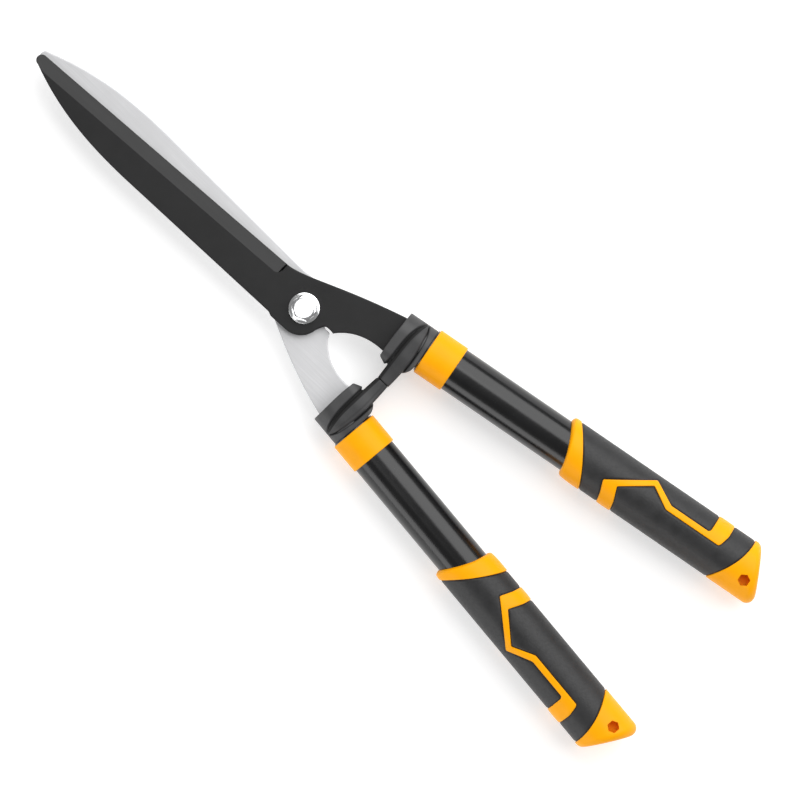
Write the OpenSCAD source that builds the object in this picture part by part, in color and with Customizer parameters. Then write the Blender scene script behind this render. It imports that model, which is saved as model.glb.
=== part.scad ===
// Long-handled grass shears, lying flat and closed.
// The two halves cross at one pivot bolt. Each half is a blade whose tang is pinned into a moulded
// socket, a round tube and a two-colour grip. Lengths are millimetres and angles are degrees.
// +Y runs to the blade tips, +Z up through the pivot, and z = 0 is the surface the shears lie on.

/* [Overall] */
// Pivot axis to the blade tips
blade_len = 220; // [180:1:270]
// Pivot to the far end of the upper handle, along that handle's axis
upper_handle_len = 320.4; // [290:0.2:400]
// Pivot to the far end of the lower handle, along that handle's axis
lower_handle_len = 322.2; // [290:0.2:400]
// Angle between each handle's axis and the long axis
handle_angle = 7.9; // [6:0.1:10]
// Pivot axis to the upper handle's axis, square to that handle
upper_offset = 20.6; // [19.5:0.1:25]
// Pivot axis to the lower handle's axis, square to that handle
lower_offset = 24.5; // [20:0.1:26]

/* [Blades] */
// Thickness of each blade
blade_t = 4; // [3:0.1:5]
// Lean of both closed blades towards the upper handle's side
blade_lean = 1.5; // [0:0.1:3]
// Blade's middle line to the spine, at the widest place
spine_w = 18.5; // [16:0.1:22]
// Blade's middle line to the spine, beside the pivot
spine_heel_w = 16.2; // [15:0.1:20]
// Length over which the spine curves in to the tip
point_len = 84; // [50:1:110]
// Blade's middle line to the cutting edge at its heel
edge_heel_w = 12; // [10:0.1:14]
// Pivot to the heel of the cutting edge
edge_heel_y = 25; // [22:0.5:32]
// Radius of the blunt tip
tip_r = 3.4; // [2:0.1:5]
// Width of the ground bevel
bevel_w = 8.3; // [5:0.1:10]
// Thickness left at the cutting edge
edge_t = 0.6; // [0.3:0.1:1.5]
// Radius of the round heel under the pivot
heel_r = 14; // [12.5:0.1:15]
// Clear hole for the hinge over the bolt's shoulder, on the radius
hinge_clear = 0.05; // [0.02:0.01:0.1]

/* [Tangs and sockets] */
// Wall left in the spigot beside the tang's corners
spigot_wall = 2.4; // [1.5:0.1:4]
// Width that the tang has more, on its inner side, at the mouth of the socket
tang_mouth_extra = 5.8; // [2:0.1:6]
// Length of tang past the socket's front face
tang_grip_len = 58; // [45:1:70]
// Room round the tang in its pocket
tang_clear = 0.1; // [0.05:0.05:0.3]
// Pivot to the socket's front face, along the handle
socket_front = 54; // [50:0.5:60]
// Length of the moulded socket in front of the tube
socket_len = 20.6; // [19:0.1:26]
// How far the socket's round side lies inside the tube's
socket_inset = 0.6; // [0:0.1:1.5]
// How far the socket's inner side stands out past its round side
socket_ear = 7.1; // [5.5:0.1:9]
// Radius of the socket's inner corners
socket_corner_r = 8; // [5:0.5:10]
// Length of the spigot that fills the front of the tube
spigot_len = 56; // [50:1:80]
// Diameter of the cross pin through tube, spigot and tang
pin_d = 5; // [4:0.5:6]

/* [Bumpers] */
// Depth of the soft bumper's seat in the socket
bumper_skin = 2; // [1:0.1:2]
// How far the bumper stands proud of the socket
bumper_proud = 0.8; // [0.3:0.1:1.5]
// Height of the bumper's arm
bumper_h = 22; // [14:0.5:24]
// Place of the line where the bumpers meet, across the long axis
stop_x = -1.4; // [-3:0.1:1]
// Gap left between the closed bumpers
stop_gap = 0.3; // [0.2:0.1:1]

/* [Tubes and collars] */
// Outer diameter of each tube
tube_d = 28; // [25:0.1:36]
// Wall of each tube
tube_wall = 1.2; // [0.8:0.1:1.6]
// Room between the tube's bore and the spigot, on the radius
spigot_clear = 0.05; // [0.02:0.01:0.2]
// Length of each collar
collar_len = 19.5; // [16:0.5:26]
// Wall of each collar
collar_wall = 1; // [0.8:0.1:2]
// Gap between the socket and the collar
collar_gap = 0.8; // [0.5:0.1:2]
// Room between the tube and what slides over it, on the radius
sleeve_clear = 0.05; // [0.02:0.01:0.2]

/* [Grips] */
// Length of each grip along its tube
grip_len = 150.3; // [140:0.5:180]
// Wall of the grip's core under the soft pads
core_wall = 1.75; // [1.2:0.05:4]
// Depth of the soft pads below the lip and the band
pad_sink = 0.4; // [0.2:0.1:1]
// Bonding layer between the core and the soft pads
pad_bond = 0.1; // [0.08:0.01:0.2]
// Thickness of the soft pads
pad_t = 1.2; // [0.8:0.1:1.5]
// Groove along the edges of the pads
pad_gap = 0.3; // [0.1:0.1:0.6]
// Width of the band's narrow stretch
band_w = 3.8; // [3:0.1:6]
// Width of the band's two wide ends
band_end_w = 9.6; // [8:0.1:12]
// Length of the end cap at the middle of the grip
cap_len = 21.3; // [20:0.1:30]
// Width across flats of the hexagonal recess in the end cap
recess_af = 6.6; // [5:0.1:8]
// Depth of the hexagonal recess
recess_depth = 9; // [4:0.5:12]

/* [Pivot] */
// Diameter of the bolt's shoulder, which is the hinge
shoulder_d = 10; // [8.6:0.1:12]
// Diameter of the bolt's thread
thread_d = 8; // [6:0.5:8]
// Diameter of the head's flange
flange_d = 18.8; // [17.5:0.1:22]
// Thickness of the head's flange
flange_t = 2; // [1.5:0.1:3]
// Width across flats of the bolt's head
head_af = 14; // [13:0.1:15]
// Height of the bolt's head above its flange
head_h = 5.3; // [4:0.1:7]
// Thickness of the washer between the blades
blade_washer_t = 0.5; // [0.3:0.1:1]
// Diameter of the washer between the blades
blade_washer_d = 24; // [20:0.5:24]
// Running gap between each turning face and its neighbour
face_gap = 0.05; // [0.03:0.01:0.1]
// Thickness of the flat washer under the blades
flat_washer_t = 1.5; // [1:0.1:2]
// Diameter of the flat washer
flat_washer_d = 22; // [18:0.5:24]
// Thickness of the disc spring
disc_t = 0.9; // [0.6:0.1:1.2]
// Height that the disc spring's cone adds
disc_rise = 0.5; // [0.2:0.1:0.8]
// Diameter of the disc spring
disc_d = 19; // [16:0.5:22]
// Width across flats of the lock nut
nut_af = 13; // [12.5:0.1:15]
// Height of the lock nut's hexagon
nut_h = 5.5; // [4:0.1:6]
// Height of the lock nut's round crown
crown_h = 2.5; // [2:0.1:3]
// Least length of thread past the lock nut
thread_past_nut = 1; // [0.5:0.1:4]

/* [Hidden] */
$fn = 96;

// The two halves are the same pieces, the lower one turned over about the long axis.
UPPER = 0;
LOWER = 1;
offset_of = [upper_offset, lower_offset];
lean_of = [-blade_lean, blade_lean];
stop_of = [stop_x, -stop_x];
len_of = [upper_handle_len, lower_handle_len];

// Radii of what is stacked on each handle's axis
tube_r = tube_d / 2;
spigot_r = tube_r - tube_wall - spigot_clear;
sleeve_r = tube_r + sleeve_clear;
core_r = sleeve_r + core_wall;
pad_inner_r = core_r + pad_bond;
pad_r = pad_inner_r + pad_t;
grip_r = pad_r + pad_sink;
socket_r = tube_r - socket_inset;
socket_inner_w = socket_r + socket_ear;

// Stations along each handle's axis, counted from the pivot
socket_rear = socket_front + socket_len;
collar_from = socket_rear + collar_gap;
pin_s = collar_from + collar_len / 2;
tang_end = socket_front + tang_grip_len;
spigot_end = socket_rear + spigot_len;

// The tang is as wide as its corners fit in the spigot
tang_room_z = blade_washer_t / 2 + blade_t + tang_clear;
tang_w = 2 * (sqrt(pow(spigot_r - spigot_wall, 2) - pow(tang_room_z, 2)) - tang_clear);

// Heights: the grips' undersides and the bolt's tail share z = 0, unless the pivot's stack is taller
stack_under = blade_washer_t / 2 + blade_t + face_gap + flat_washer_t + disc_t + disc_rise
    + nut_h + crown_h;
mid_z = max(grip_r, stack_under + thread_past_nut);
blade_top = mid_z + blade_washer_t / 2 + blade_t;
blade_bottom = mid_z - blade_washer_t / 2 - blade_t;
shoulder_end = blade_bottom - face_gap;
washer_under = shoulder_end - flat_washer_t;
disc_under = washer_under - disc_t - disc_rise;
nut_under = disc_under - nut_h - crown_h;
thread_clear = 0.05;
bevel_start = 0.5;
hair = 0.01;
beyond = 60;

// ---------- curves ----------

// A point turned about the pivot
function turned(p, a) = [p.x * cos(a) - p.y * sin(a), p.x * sin(a) + p.y * cos(a)];

// A point beside a blade's middle line, y along it from the pivot
function on_blade(h, x, y) = turned([x, y], lean_of[h]);

// A point w outward of a handle's axis and s along it from the pivot
function on_handle(h, w, s) = turned([offset_of[h] + w, -s], handle_angle);

// A cubic Bezier curve through p[0] and p[3], as n + 1 points
function bezier(p, n) = [
    for (i = [0 : n])
        let (t = i / n, u = 1 - t)
            p[0] * u * u * u + p[1] * 3 * u * u * t + p[2] * 3 * u * t * t + p[3] * t * t * t
];

// Points on an arc about c, as n + 1 points
function arc(c, r, a0, a1, n) = [
    for (i = [0 : n])
        let (a = a0 + (a1 - a0) * i / n)
            c + r * [cos(a), sin(a)]
];

// Spine of a blade: straight from the heel, then a power curve in to the tip
spine_power = 2.45;
tip_mid_x = -1.5;
function spine(h, n) = [
    for (i = [n - 1 : -1 : 0])
        let (t = i / n, reach = spine_w + tip_mid_x - tip_r)
            on_blade(h, -spine_w + reach * pow(t, spine_power), blade_len - tip_r - point_len * (1 - t))
];

// ---------- blades ----------

// Where the tang leaves the socket's mouth, on its outer and inner sides
function tang_outer(h) = on_handle(h, tang_w / 2, socket_front);
function tang_inner(h) = on_handle(h, -tang_w / 2 - tang_mouth_extra, socket_front - 0.7);

// The tang's outer side sweeps from the edge's heel to the socket
function tang_sweep(h) = let (end = tang_outer(h), heel = on_blade(h, edge_heel_w, edge_heel_y))
    bezier([end, [end.x - 12.4, -6], [heel.x + 0.9, edge_heel_y - 13], heel], 10);

// The tang's inner side starts at a blunt corner behind the heel
function crotch(h) = let (end = tang_inner(h), start = [end.x - 12.5, -23])
    bezier([start, start + [7, -5.5], end + [0.3, 14], end], 8);

function blade_outline(h) = concat(
    [on_handle(h, tang_w / 2, tang_end)],
    tang_sweep(h),
    arc(on_blade(h, tip_mid_x, blade_len - tip_r), tip_r, 0, 180, 8),
    spine(h, 14),
    [on_blade(h, -spine_heel_w, heel_r), on_blade(h, -heel_r - 3, heel_r - 2)],
    arc([-3, 0], heel_r, 180, 262, 8),
    [[-0.5, -heel_r - 2], [0.6, -heel_r - 3.2], [0.7, -heel_r - 7.5]],
    crotch(h),
    [on_handle(h, -tang_w / 2, socket_front + 10), on_handle(h, -tang_w / 2, tang_end)]
);

// What the grinding wheel takes off a blade's outer face, along its cutting edge
module bevel_cut(h) {
    heel = [edge_heel_w, edge_heel_y];
    tip = [tip_mid_x + tip_r, blade_len - tip_r];
    run = tip - heel;
    slope = (blade_t - edge_t) / bevel_w;
    rotate([0, 0, lean_of[h]])
        translate([heel.x, heel.y, blade_washer_t / 2])
            rotate([0, 0, -atan2(run.x, run.y)])
                translate([0, norm(run) + beyond, 0])
                    rotate([90, 0, 0])
                        linear_extrude(norm(run) + beyond - bevel_start)
                            polygon([
                                [-bevel_w, blade_t],
                                [bevel_w, blade_t - 2 * bevel_w * slope],
                                [bevel_w, blade_t + 1],
                                [-bevel_w, blade_t + 1]
                            ]);
}

// One blade with its tang, bored for the bolt's shoulder and the cross pin
module blade(h) {
    on_half(h)
        difference() {
            translate([0, 0, blade_washer_t / 2])
                linear_extrude(blade_t)
                    polygon(blade_outline(h));
            cylinder(h = beyond, r = shoulder_d / 2 + hinge_clear, center = true);
            on_axis(h) pin_hole();
            bevel_cut(h);
        }
}

// ---------- placing ----------

// Puts what is drawn about the middle plane into its half
module on_half(h) {
    translate([0, 0, mid_z])
        rotate([0, h * 180, 0])
            children();
}

// Puts what is drawn about the Y axis onto a handle's axis: +X is outward and -Y is along it
module on_axis(h) {
    rotate([0, 0, handle_angle])
        translate([offset_of[h], 0, 0])
            children();
}

// Extrudes an X-Z section along the handle from s0 to s1
module along(s0, s1) {
    translate([0, -s0, 0])
        rotate([90, 0, 0])
            linear_extrude(s1 - s0)
                children();
}

// Extrudes an outline of [w, s] points through the handle, square to the middle plane
module plan(points) {
    linear_extrude(2 * beyond, center = true)
        polygon([for (p = points) [p.x, -p.y]]);
}

// Revolves a profile of [radius, s] points about the handle's axis
module turned_on_axis(profile) {
    rotate([90, 0, 0])
        rotate_extrude()
            polygon(profile);
}

// Hole or pin through the handle, square to the middle plane
module pin_hole() {
    translate([0, -pin_s, 0])
        cylinder(h = 2 * beyond, d = pin_d, center = true);
}

// ---------- sockets and bumpers ----------

// Section across the socket: round on the outer side and square with round corners on the inner
module socket_section(grow) {
    corner_x = socket_corner_r - socket_inner_w;
    corner_z = socket_r - socket_corner_r;
    circle(r = socket_r + grow);
    translate([corner_x, -socket_r - grow])
        square([-corner_x, 2 * (socket_r + grow)]);
    translate([-socket_inner_w - grow, -corner_z])
        square([socket_inner_w + grow, 2 * corner_z]);
    for (side = [-1, 1])
        translate([corner_x, side * corner_z])
            circle(r = socket_corner_r + grow);
}

// Outline of the socket from above, with its inner corners cut back
socket_outline = concat(
    [[socket_r + 1, socket_front + 0.8], [3 - socket_inner_w, socket_front - 0.7]],
    [[1.4 - socket_inner_w, socket_front + 0.6], [-socket_inner_w, socket_front + 5]],
    [[-socket_inner_w, socket_rear - 5.5], [2.8 - socket_inner_w, socket_rear - 2]],
    [[8 - socket_inner_w, socket_rear], [socket_r + 1, socket_rear]]
);

// Leaf outline of the bumper, from its point on the outer side to past the stop line
leaf_front = socket_front + 5.8;
leaf_rear = socket_rear - 6.3;
leaf_past_stop = 5;
function leaf_end_w(h) =
    (stop_of[h] - leaf_rear * sin(handle_angle)) / cos(handle_angle) - offset_of[h] - leaf_past_stop;
function leaf_outline(h) =
    let (
        end_w = leaf_end_w(h),
        tip = [socket_r - 0.6, (leaf_front + leaf_rear) / 2 + 3],
        rear = [[-11, 3.7], [-27, 4]],
        front = [[-29, 0.3], [-9, 0.6]]
    )
    concat(
        bezier([
            tip + [0, 0.5],
            [tip.x, leaf_rear] + rear[0],
            [tip.x, leaf_rear] + rear[1],
            [end_w, leaf_rear - 0.9]
        ], 10),
        bezier([
            [end_w, leaf_front],
            [tip.x, leaf_front] + front[0],
            [tip.x, leaf_front] + front[1],
            tip
        ], 10)
    );

// The tang's pocket in the socket and its spigot
module tang_pocket() {
    room = tang_w / 2 + tang_clear;
    translate([0, 0, blade_washer_t / 2 - tang_clear])
        linear_extrude(blade_t + 2 * tang_clear)
            polygon([
                [room, -socket_front + 2],
                [room, -tang_end - 1],
                [-room, -tang_end - 1],
                [-room, -socket_front - 10],
                [-room - tang_mouth_extra, -socket_front],
                [-room - tang_mouth_extra, -socket_front + 2]
            ]);
}

module socket(h) {
    on_half(h) on_axis(h)
        difference() {
            union() {
                intersection() {
                    along(socket_front - 2, socket_rear) socket_section(0);
                    plan(socket_outline);
                }
                along(socket_rear - 1, spigot_end) circle(r = spigot_r);
            }
            difference() {
                plan(leaf_outline(h));
                along(socket_front, socket_rear) socket_section(-bumper_skin);
            }
            tang_pocket();
            pin_hole();
        }
}

// Section of the bumper's arm
module arm_section(h) {
    translate([leaf_end_w(h), -bumper_h / 2])
        square([-leaf_end_w(h), bumper_h]);
}

module bumper(h) {
    on_half(h)
        difference() {
            on_axis(h)
                difference() {
                    intersection() {
                        union() {
                            along(socket_front, socket_rear) socket_section(bumper_proud);
                            along(socket_front, socket_rear) arm_section(h);
                        }
                        plan(leaf_outline(h));
                    }
                    along(socket_front, socket_rear) socket_section(-bumper_skin);
                }
            translate([stop_of[h] + stop_gap / 2 - 2 * beyond, -3 * beyond, -beyond])
                cube([2 * beyond, 3 * beyond, 2 * beyond]);
        }
}

module tang_pin(h) {
    on_half(h) on_axis(h)
        translate([0, -pin_s, 0])
            cylinder(h = 2 * (tube_r - 0.6), d = pin_d, center = true);
}

// ---------- tubes and collars ----------

module tube(h) {
    on_half(h) on_axis(h)
        difference() {
            along(socket_rear, len_of[h] - cap_len)
                difference() {
                    circle(r = tube_r);
                    circle(r = tube_r - tube_wall);
                }
            pin_hole();
        }
}

module collar(h) {
    outer = sleeve_r + collar_wall;
    bevel = collar_wall / 2;
    on_half(h) on_axis(h)
        turned_on_axis([
            [sleeve_r, collar_from],
            [outer - bevel, collar_from],
            [outer, collar_from + bevel],
            [outer, collar_from + collar_len - bevel],
            [outer - bevel, collar_from + collar_len],
            [sleeve_r, collar_from + collar_len]
        ]);
}

// ---------- grips ----------

// Half the width over which the grip's edges are drawn
side = grip_r + 1;

// Front edge of the lip: it reaches furthest forward on the outer side
function lip_front(from, w) = from + 11.3 * (1 - pow(max(0, w + side) / (2 * side), 1.5));
// Edge between the lip and the front pad
function lip_rear(from, w) = from + 17.7 - 0.6 * w - 0.005 * w * w;
// Edge between the rear pad and the end cap
function cap_edge(end, w) = end - cap_len + 0.36 * w - 0.0106 * w * w;

function lip_front_edge(from) = [
    for (i = [6 : -1 : -6])
        let (w = side * i / 6)
            [w, lip_front(from, w)]
];
function lip_rear_edge(from, gap) = [
    for (i = [-5 : 5])
        let (w = side * i / 5)
            [w, lip_rear(from, w) + gap]
];
function cap_front_edge(end, gap) = [
    for (i = [-5 : 5])
        let (w = side * i / 5)
            [w, cap_edge(end, w) + gap]
];

// Chevron band: forward edge, from the inner side to the outer side
function band_front(from, end) = [
    [-side, from + 39.7],
    [-12, from + 38.3],
    [-4.3, from + 35.3],
    [14.2, from + 62.8],
    [2.2 + band_w, from + 78],
    [2.2 + band_w, end - 45.6],
    [3.6 + band_w, end - 44.4],
    [side, end - 44.2]
];

// Chevron band: rear edge, from the inner side to the outer side
function band_rear(from, end) = [
    [-side, from + 39.7 + band_end_w],
    [-12, from + 38.3 + band_end_w],
    [-3, from + 44.4],
    [14.2 - band_w, from + 63],
    [2.2, from + 76.4],
    [2.2, end - 45.6 + band_end_w],
    [4, end - 44.4 + band_end_w],
    [10, end - 43 + band_end_w],
    [side, end - 43 + band_end_w]
];

function back(list) = [for (i = [len(list) - 1 : -1 : 0]) list[i]];
function shift(list, step) = [for (p = list) p + step];

// Steps that draw the pads back from the band: sideways as well, because of its slanted stretches
front_pad_step = [1.5 * pad_gap, -pad_gap];
rear_pad_step = -front_pad_step;

// Outline of the end cap: its far side is cut on a slant and rounded
function cap_outline(end) = concat(
    back(cap_front_edge(end, 0)),
    [[-side, end - 6]],
    arc([-grip_r + 5, end - 5], 5, 180, 90, 5),
    [[-grip_r + 8.5, end - 0.6], [grip_r - 5.5, end - 11.2]],
    arc([grip_r - 3, end - 16], 3, 60, 0, 4),
    [[side, end - 17]]
);

module grip_core(h) {
    end = len_of[h];
    from = end - grip_len;
    on_half(h) on_axis(h)
        difference() {
            union() {
                intersection() {
                    along(from - 2, end) circle(r = core_r);
                    plan(concat(lip_front_edge(from), cap_front_edge(end, hair)));
                }
                intersection() {
                    along(from - 2, end + 2) circle(r = grip_r);
                    union() {
                        plan(concat(lip_front_edge(from), lip_rear_edge(from, 0)));
                        plan(concat(band_front(from, end), back(band_rear(from, end))));
                        plan(cap_outline(end));
                    }
                }
            }
            along(from - 2, end - cap_len) circle(r = sleeve_r);
            for (face = [0, 180])
                rotate([0, face, 0])
                    translate([(face == 0 ? -1 : 1) * 6.3, -end + 11.5, grip_r - 1.2 - recess_depth])
                        cylinder(h = beyond, d = recess_af / cos(30), $fn = 6);
        }
}

// A soft pad: the skin between two edges, sunk a little below the band
module pad(h, points) {
    end = len_of[h];
    on_half(h) on_axis(h)
        intersection() {
            along(end - grip_len, end)
                difference() {
                    circle(r = pad_r);
                    circle(r = pad_inner_r);
                }
            plan(points);
        }
}

module front_pad(h) {
    end = len_of[h];
    from = end - grip_len;
    pad(h, concat(lip_rear_edge(from, pad_gap), back(shift(band_front(from, end), front_pad_step))));
}

module rear_pad(h) {
    end = len_of[h];
    from = end - grip_len;
    pad(h, concat(shift(band_rear(from, end), rear_pad_step), back(cap_front_edge(end, -pad_gap))));
}

// ---------- pivot ----------

// Shoulder bolt: flanged hexagon head, plain shoulder and thread
module pivot_bolt() {
    head_top = blade_top + flange_t + head_h;
    color([0.86, 0.87, 0.88]) {
        rotate_extrude()
            polygon([
                [0, 0],
                [thread_d / 2 - 0.6, 0],
                [thread_d / 2, 0.6],
                [thread_d / 2, shoulder_end],
                [shoulder_d / 2, shoulder_end],
                [shoulder_d / 2, blade_top],
                [flange_d / 2, blade_top],
                [flange_d / 2, blade_top + flange_t * 0.5],
                [head_af / 2, blade_top + flange_t],
                [0, blade_top + flange_t]
            ]);
        intersection() {
            rotate([0, 0, -7])
                translate([0, 0, blade_top + flange_t - hair])
                    cylinder(h = head_h + hair, d = head_af / cos(30), $fn = 6);
            rotate_extrude()
                polygon([
                    [0, blade_top],
                    [head_af, blade_top],
                    [head_af, head_top - 1 - (head_af / 2 + 1) * 0.3],
                    [head_af / 2 - 0.4, head_top],
                    [0, head_top]
                ]);
        }
    }
}

// A flat ring on the pivot axis
module ring(inner_r, outer_r, z0, z1) {
    translate([0, 0, z0])
        linear_extrude(z1 - z0)
            difference() {
                circle(r = outer_r);
                circle(r = inner_r);
            }
}

module blade_washer() {
    color([0.75, 0.7, 0.55])
        ring(shoulder_d / 2 + hinge_clear, blade_washer_d / 2, mid_z - blade_washer_t / 2 + face_gap,
            mid_z + blade_washer_t / 2);
}

module flat_washer() {
    color([0.8, 0.81, 0.82])
        ring(thread_d / 2 + thread_clear, flat_washer_d / 2, washer_under, shoulder_end);
}

module disc_spring() {
    inner = thread_d / 2 + thread_clear;
    outer = disc_d / 2;
    color([0.45, 0.45, 0.47])
        rotate_extrude()
            polygon([
                [inner, disc_under],
                [inner, disc_under + disc_t],
                [outer, disc_under + disc_t + disc_rise],
                [outer, disc_under + disc_rise]
            ]);
}

module lock_nut() {
    bore = thread_d / 2 + thread_clear;
    crown_r = nut_af / 2 - 0.5;
    crown_top = nut_under + crown_h;
    color([0.8, 0.81, 0.82])
        difference() {
            union() {
                translate([0, 0, crown_top])
                    cylinder(h = nut_h, d = nut_af / cos(30), $fn = 6);
                translate([0, 0, nut_under])
                    cylinder(h = crown_h + 1, r = crown_r);
            }
            translate([0, 0, -beyond])
                cylinder(h = 2 * beyond, r = bore);
            translate([0, 0, nut_under + 0.4])
                cylinder(h = crown_h - 0.4, r = crown_r - 0.8);
        }
}

module nut_insert() {
    color([0.2, 0.35, 0.65])
        ring(thread_d / 2, nut_af / 2 - 1.3, nut_under + 0.4, nut_under + crown_h);
}

// ---------- the pieces ----------

charcoal = [0.21, 0.21, 0.22];
steel = [0.84, 0.84, 0.85];
rubber = [0.27, 0.27, 0.28];
yellow = [1, 0.69, 0.08];
paint = [0.06, 0.06, 0.065];

module upper_blade() color(charcoal) blade(UPPER);
module upper_socket() color(rubber) socket(UPPER);
module upper_bumper() color(rubber * 0.9) bumper(UPPER);
module upper_tang_pin() color(steel) tang_pin(UPPER);
module upper_collar() color(yellow) collar(UPPER);
module upper_tube() color(paint) tube(UPPER);
module upper_grip_core() color(yellow) grip_core(UPPER);
module upper_front_pad() color(charcoal) front_pad(UPPER);
module upper_rear_pad() color(charcoal) rear_pad(UPPER);
module lower_blade() color(steel) blade(LOWER);
module lower_socket() color(rubber) socket(LOWER);
module lower_bumper() color(rubber * 0.9) bumper(LOWER);
module lower_tang_pin() color(steel) tang_pin(LOWER);
module lower_collar() color(yellow) collar(LOWER);
module lower_tube() color(paint) tube(LOWER);
module lower_grip_core() color(yellow) grip_core(LOWER);
module lower_front_pad() color(charcoal) front_pad(LOWER);
module lower_rear_pad() color(charcoal) rear_pad(LOWER);

upper_blade();
upper_socket();
upper_bumper();
upper_tang_pin();
upper_collar();
upper_tube();
upper_grip_core();
upper_front_pad();
upper_rear_pad();
lower_blade();
lower_socket();
lower_bumper();
lower_tang_pin();
lower_collar();
lower_tube();
lower_grip_core();
lower_front_pad();
lower_rear_pad();
pivot_bolt();
blade_washer();
flat_washer();
disc_spring();
lock_nut();
nut_insert();
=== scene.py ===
"""Long-handled grass shears in a plain studio.

Two halves cross at one pivot bolt. Each half is a blade, a moulded socket with a soft bumper, a
painted tube with a collar, and a two-colour grip. Sizes are written in millimetres and angles in
degrees; meshes are stored in metres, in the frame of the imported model.
"""

import logging
import math
from dataclasses import dataclass, field
from enum import Enum
from typing import Any, Dict, List, Optional, Sequence, Tuple, Union

import bmesh
import bpy
import numpy as np
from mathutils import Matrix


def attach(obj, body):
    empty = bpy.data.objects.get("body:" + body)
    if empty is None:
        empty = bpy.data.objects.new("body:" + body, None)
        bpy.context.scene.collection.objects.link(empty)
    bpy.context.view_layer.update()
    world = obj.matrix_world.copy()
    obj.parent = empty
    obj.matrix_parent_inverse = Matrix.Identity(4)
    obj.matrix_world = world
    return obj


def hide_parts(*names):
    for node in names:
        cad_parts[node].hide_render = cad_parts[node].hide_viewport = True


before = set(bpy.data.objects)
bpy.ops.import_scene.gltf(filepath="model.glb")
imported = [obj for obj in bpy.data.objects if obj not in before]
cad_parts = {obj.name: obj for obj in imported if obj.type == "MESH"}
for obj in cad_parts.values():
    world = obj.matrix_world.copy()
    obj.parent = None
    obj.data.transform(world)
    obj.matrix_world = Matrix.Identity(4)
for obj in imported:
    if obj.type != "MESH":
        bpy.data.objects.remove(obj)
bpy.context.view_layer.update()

LOG = logging.getLogger("grass_shears")
MM = 0.001
Pair = Tuple[float, float]
Colour = Tuple[float, float, float, float]


# ---------- curves ----------


def bezier(points: Sequence[Pair], t: np.ndarray) -> np.ndarray:
    """A cubic Bezier curve: the points weighted by (1-t)^3, 3t(1-t)^2, 3t^2(1-t) and t^3.

    Args:
        points: The four control points.
        t: Places on the curve, from 0 to 1.

    Returns:
        One point for each place.
    """
    a, b, c, d = (np.asarray(p, float) for p in points)
    u = 1 - t
    return np.outer(u**3, a) + np.outer(3 * u * u * t, b) + np.outer(3 * u * t * t, c) + np.outer(t**3, d)


def shares(count: int) -> np.ndarray:
    """Evenly spaced shares, count of them, the last of them 1 and 0 left out."""
    return np.linspace(0, 1, count + 1)[1:]


def full_turn(count: int) -> np.ndarray:
    """Evenly spaced angles round a full turn, in radians."""
    return np.arange(count) * 2 * np.pi / count


def quarter_rise(x: np.ndarray) -> np.ndarray:
    """Height of a quarter circle at share x of its width: sqrt(1 - (1 - x)^2), and 1 from there on."""
    return np.sqrt(1 - (1 - np.clip(x, 0, 1)) ** 2)


def arc(centre: Pair, radius: float, degrees: np.ndarray) -> np.ndarray:
    """Points at the given angles on a circle: centre + radius (cos, sin)."""
    a = np.radians(degrees)
    return np.asarray(centre, float) + radius * np.stack([np.cos(a), np.sin(a)], -1)


def line(start: Pair, end: Pair, t: np.ndarray) -> np.ndarray:
    """Points at shares t of the way from start to end."""
    return np.outer(1 - t, start) + np.outer(t, end)


def along(points: Sequence[Pair], t: np.ndarray) -> np.ndarray:
    """Points at shares of the whole length of a polyline.

    Args:
        points: The polyline's corners.
        t: The shares, from 0 to 1.

    Returns:
        One point for each share.
    """
    corners = np.asarray(points, float)
    run = np.concatenate([[0], np.cumsum(np.linalg.norm(np.diff(corners, axis=0), axis=1))])
    return np.stack([np.interp(t * run[-1], run, corners[:, k]) for k in range(2)], -1)


def spline(keys: Sequence[Pair], x: np.ndarray) -> np.ndarray:
    """A smooth curve through the keys: cubic Hermite pieces whose slopes are the keys' own gradient.

    Args:
        keys: (x, y) pairs, x rising.
        x: Where the curve is wanted; outside the keys the end values hold.

    Returns:
        y at each x.
    """
    kx, ky = np.asarray(keys, float).T
    slope = np.gradient(ky, kx)
    i = np.clip(np.searchsorted(kx, x) - 1, 0, len(kx) - 2)
    h = kx[i + 1] - kx[i]
    t = np.clip((x - kx[i]) / h, 0, 1)
    rise = (3 - 2 * t) * t * t
    return (
        ky[i] * (1 - rise) + ky[i + 1] * rise
        + slope[i] * h * t * (1 - t) ** 2 - slope[i + 1] * h * t * t * (1 - t)
    )


def softened(points: np.ndarray, reach: int) -> np.ndarray:
    """Rounds the corners of a row of points: each becomes a raised-cosine mean of its neighbours.

    Args:
        points: The row, which keeps its ends.
        reach: How many neighbours count on each side.

    Returns:
        As many points as before.
    """
    weight = np.hanning(2 * reach + 3)[1:-1]
    weight /= weight.sum()
    padded = np.concatenate([np.repeat(points[:1], reach, 0), points, np.repeat(points[-1:], reach, 0)])
    return np.stack([np.convolve(padded[:, k], weight, "valid") for k in range(points.shape[1])], -1)


def inward(points: np.ndarray, side: float) -> np.ndarray:
    """Unit vectors square to a row of points.

    Args:
        points: The row.
        side: 1 for the vectors to its right, -1 for those to its left.

    Returns:
        One vector for each point.
    """
    run = np.gradient(points, axis=0)
    run /= np.linalg.norm(run, axis=1, keepdims=True)
    return side * np.stack([run[:, 1], -run[:, 0]], -1)


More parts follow.
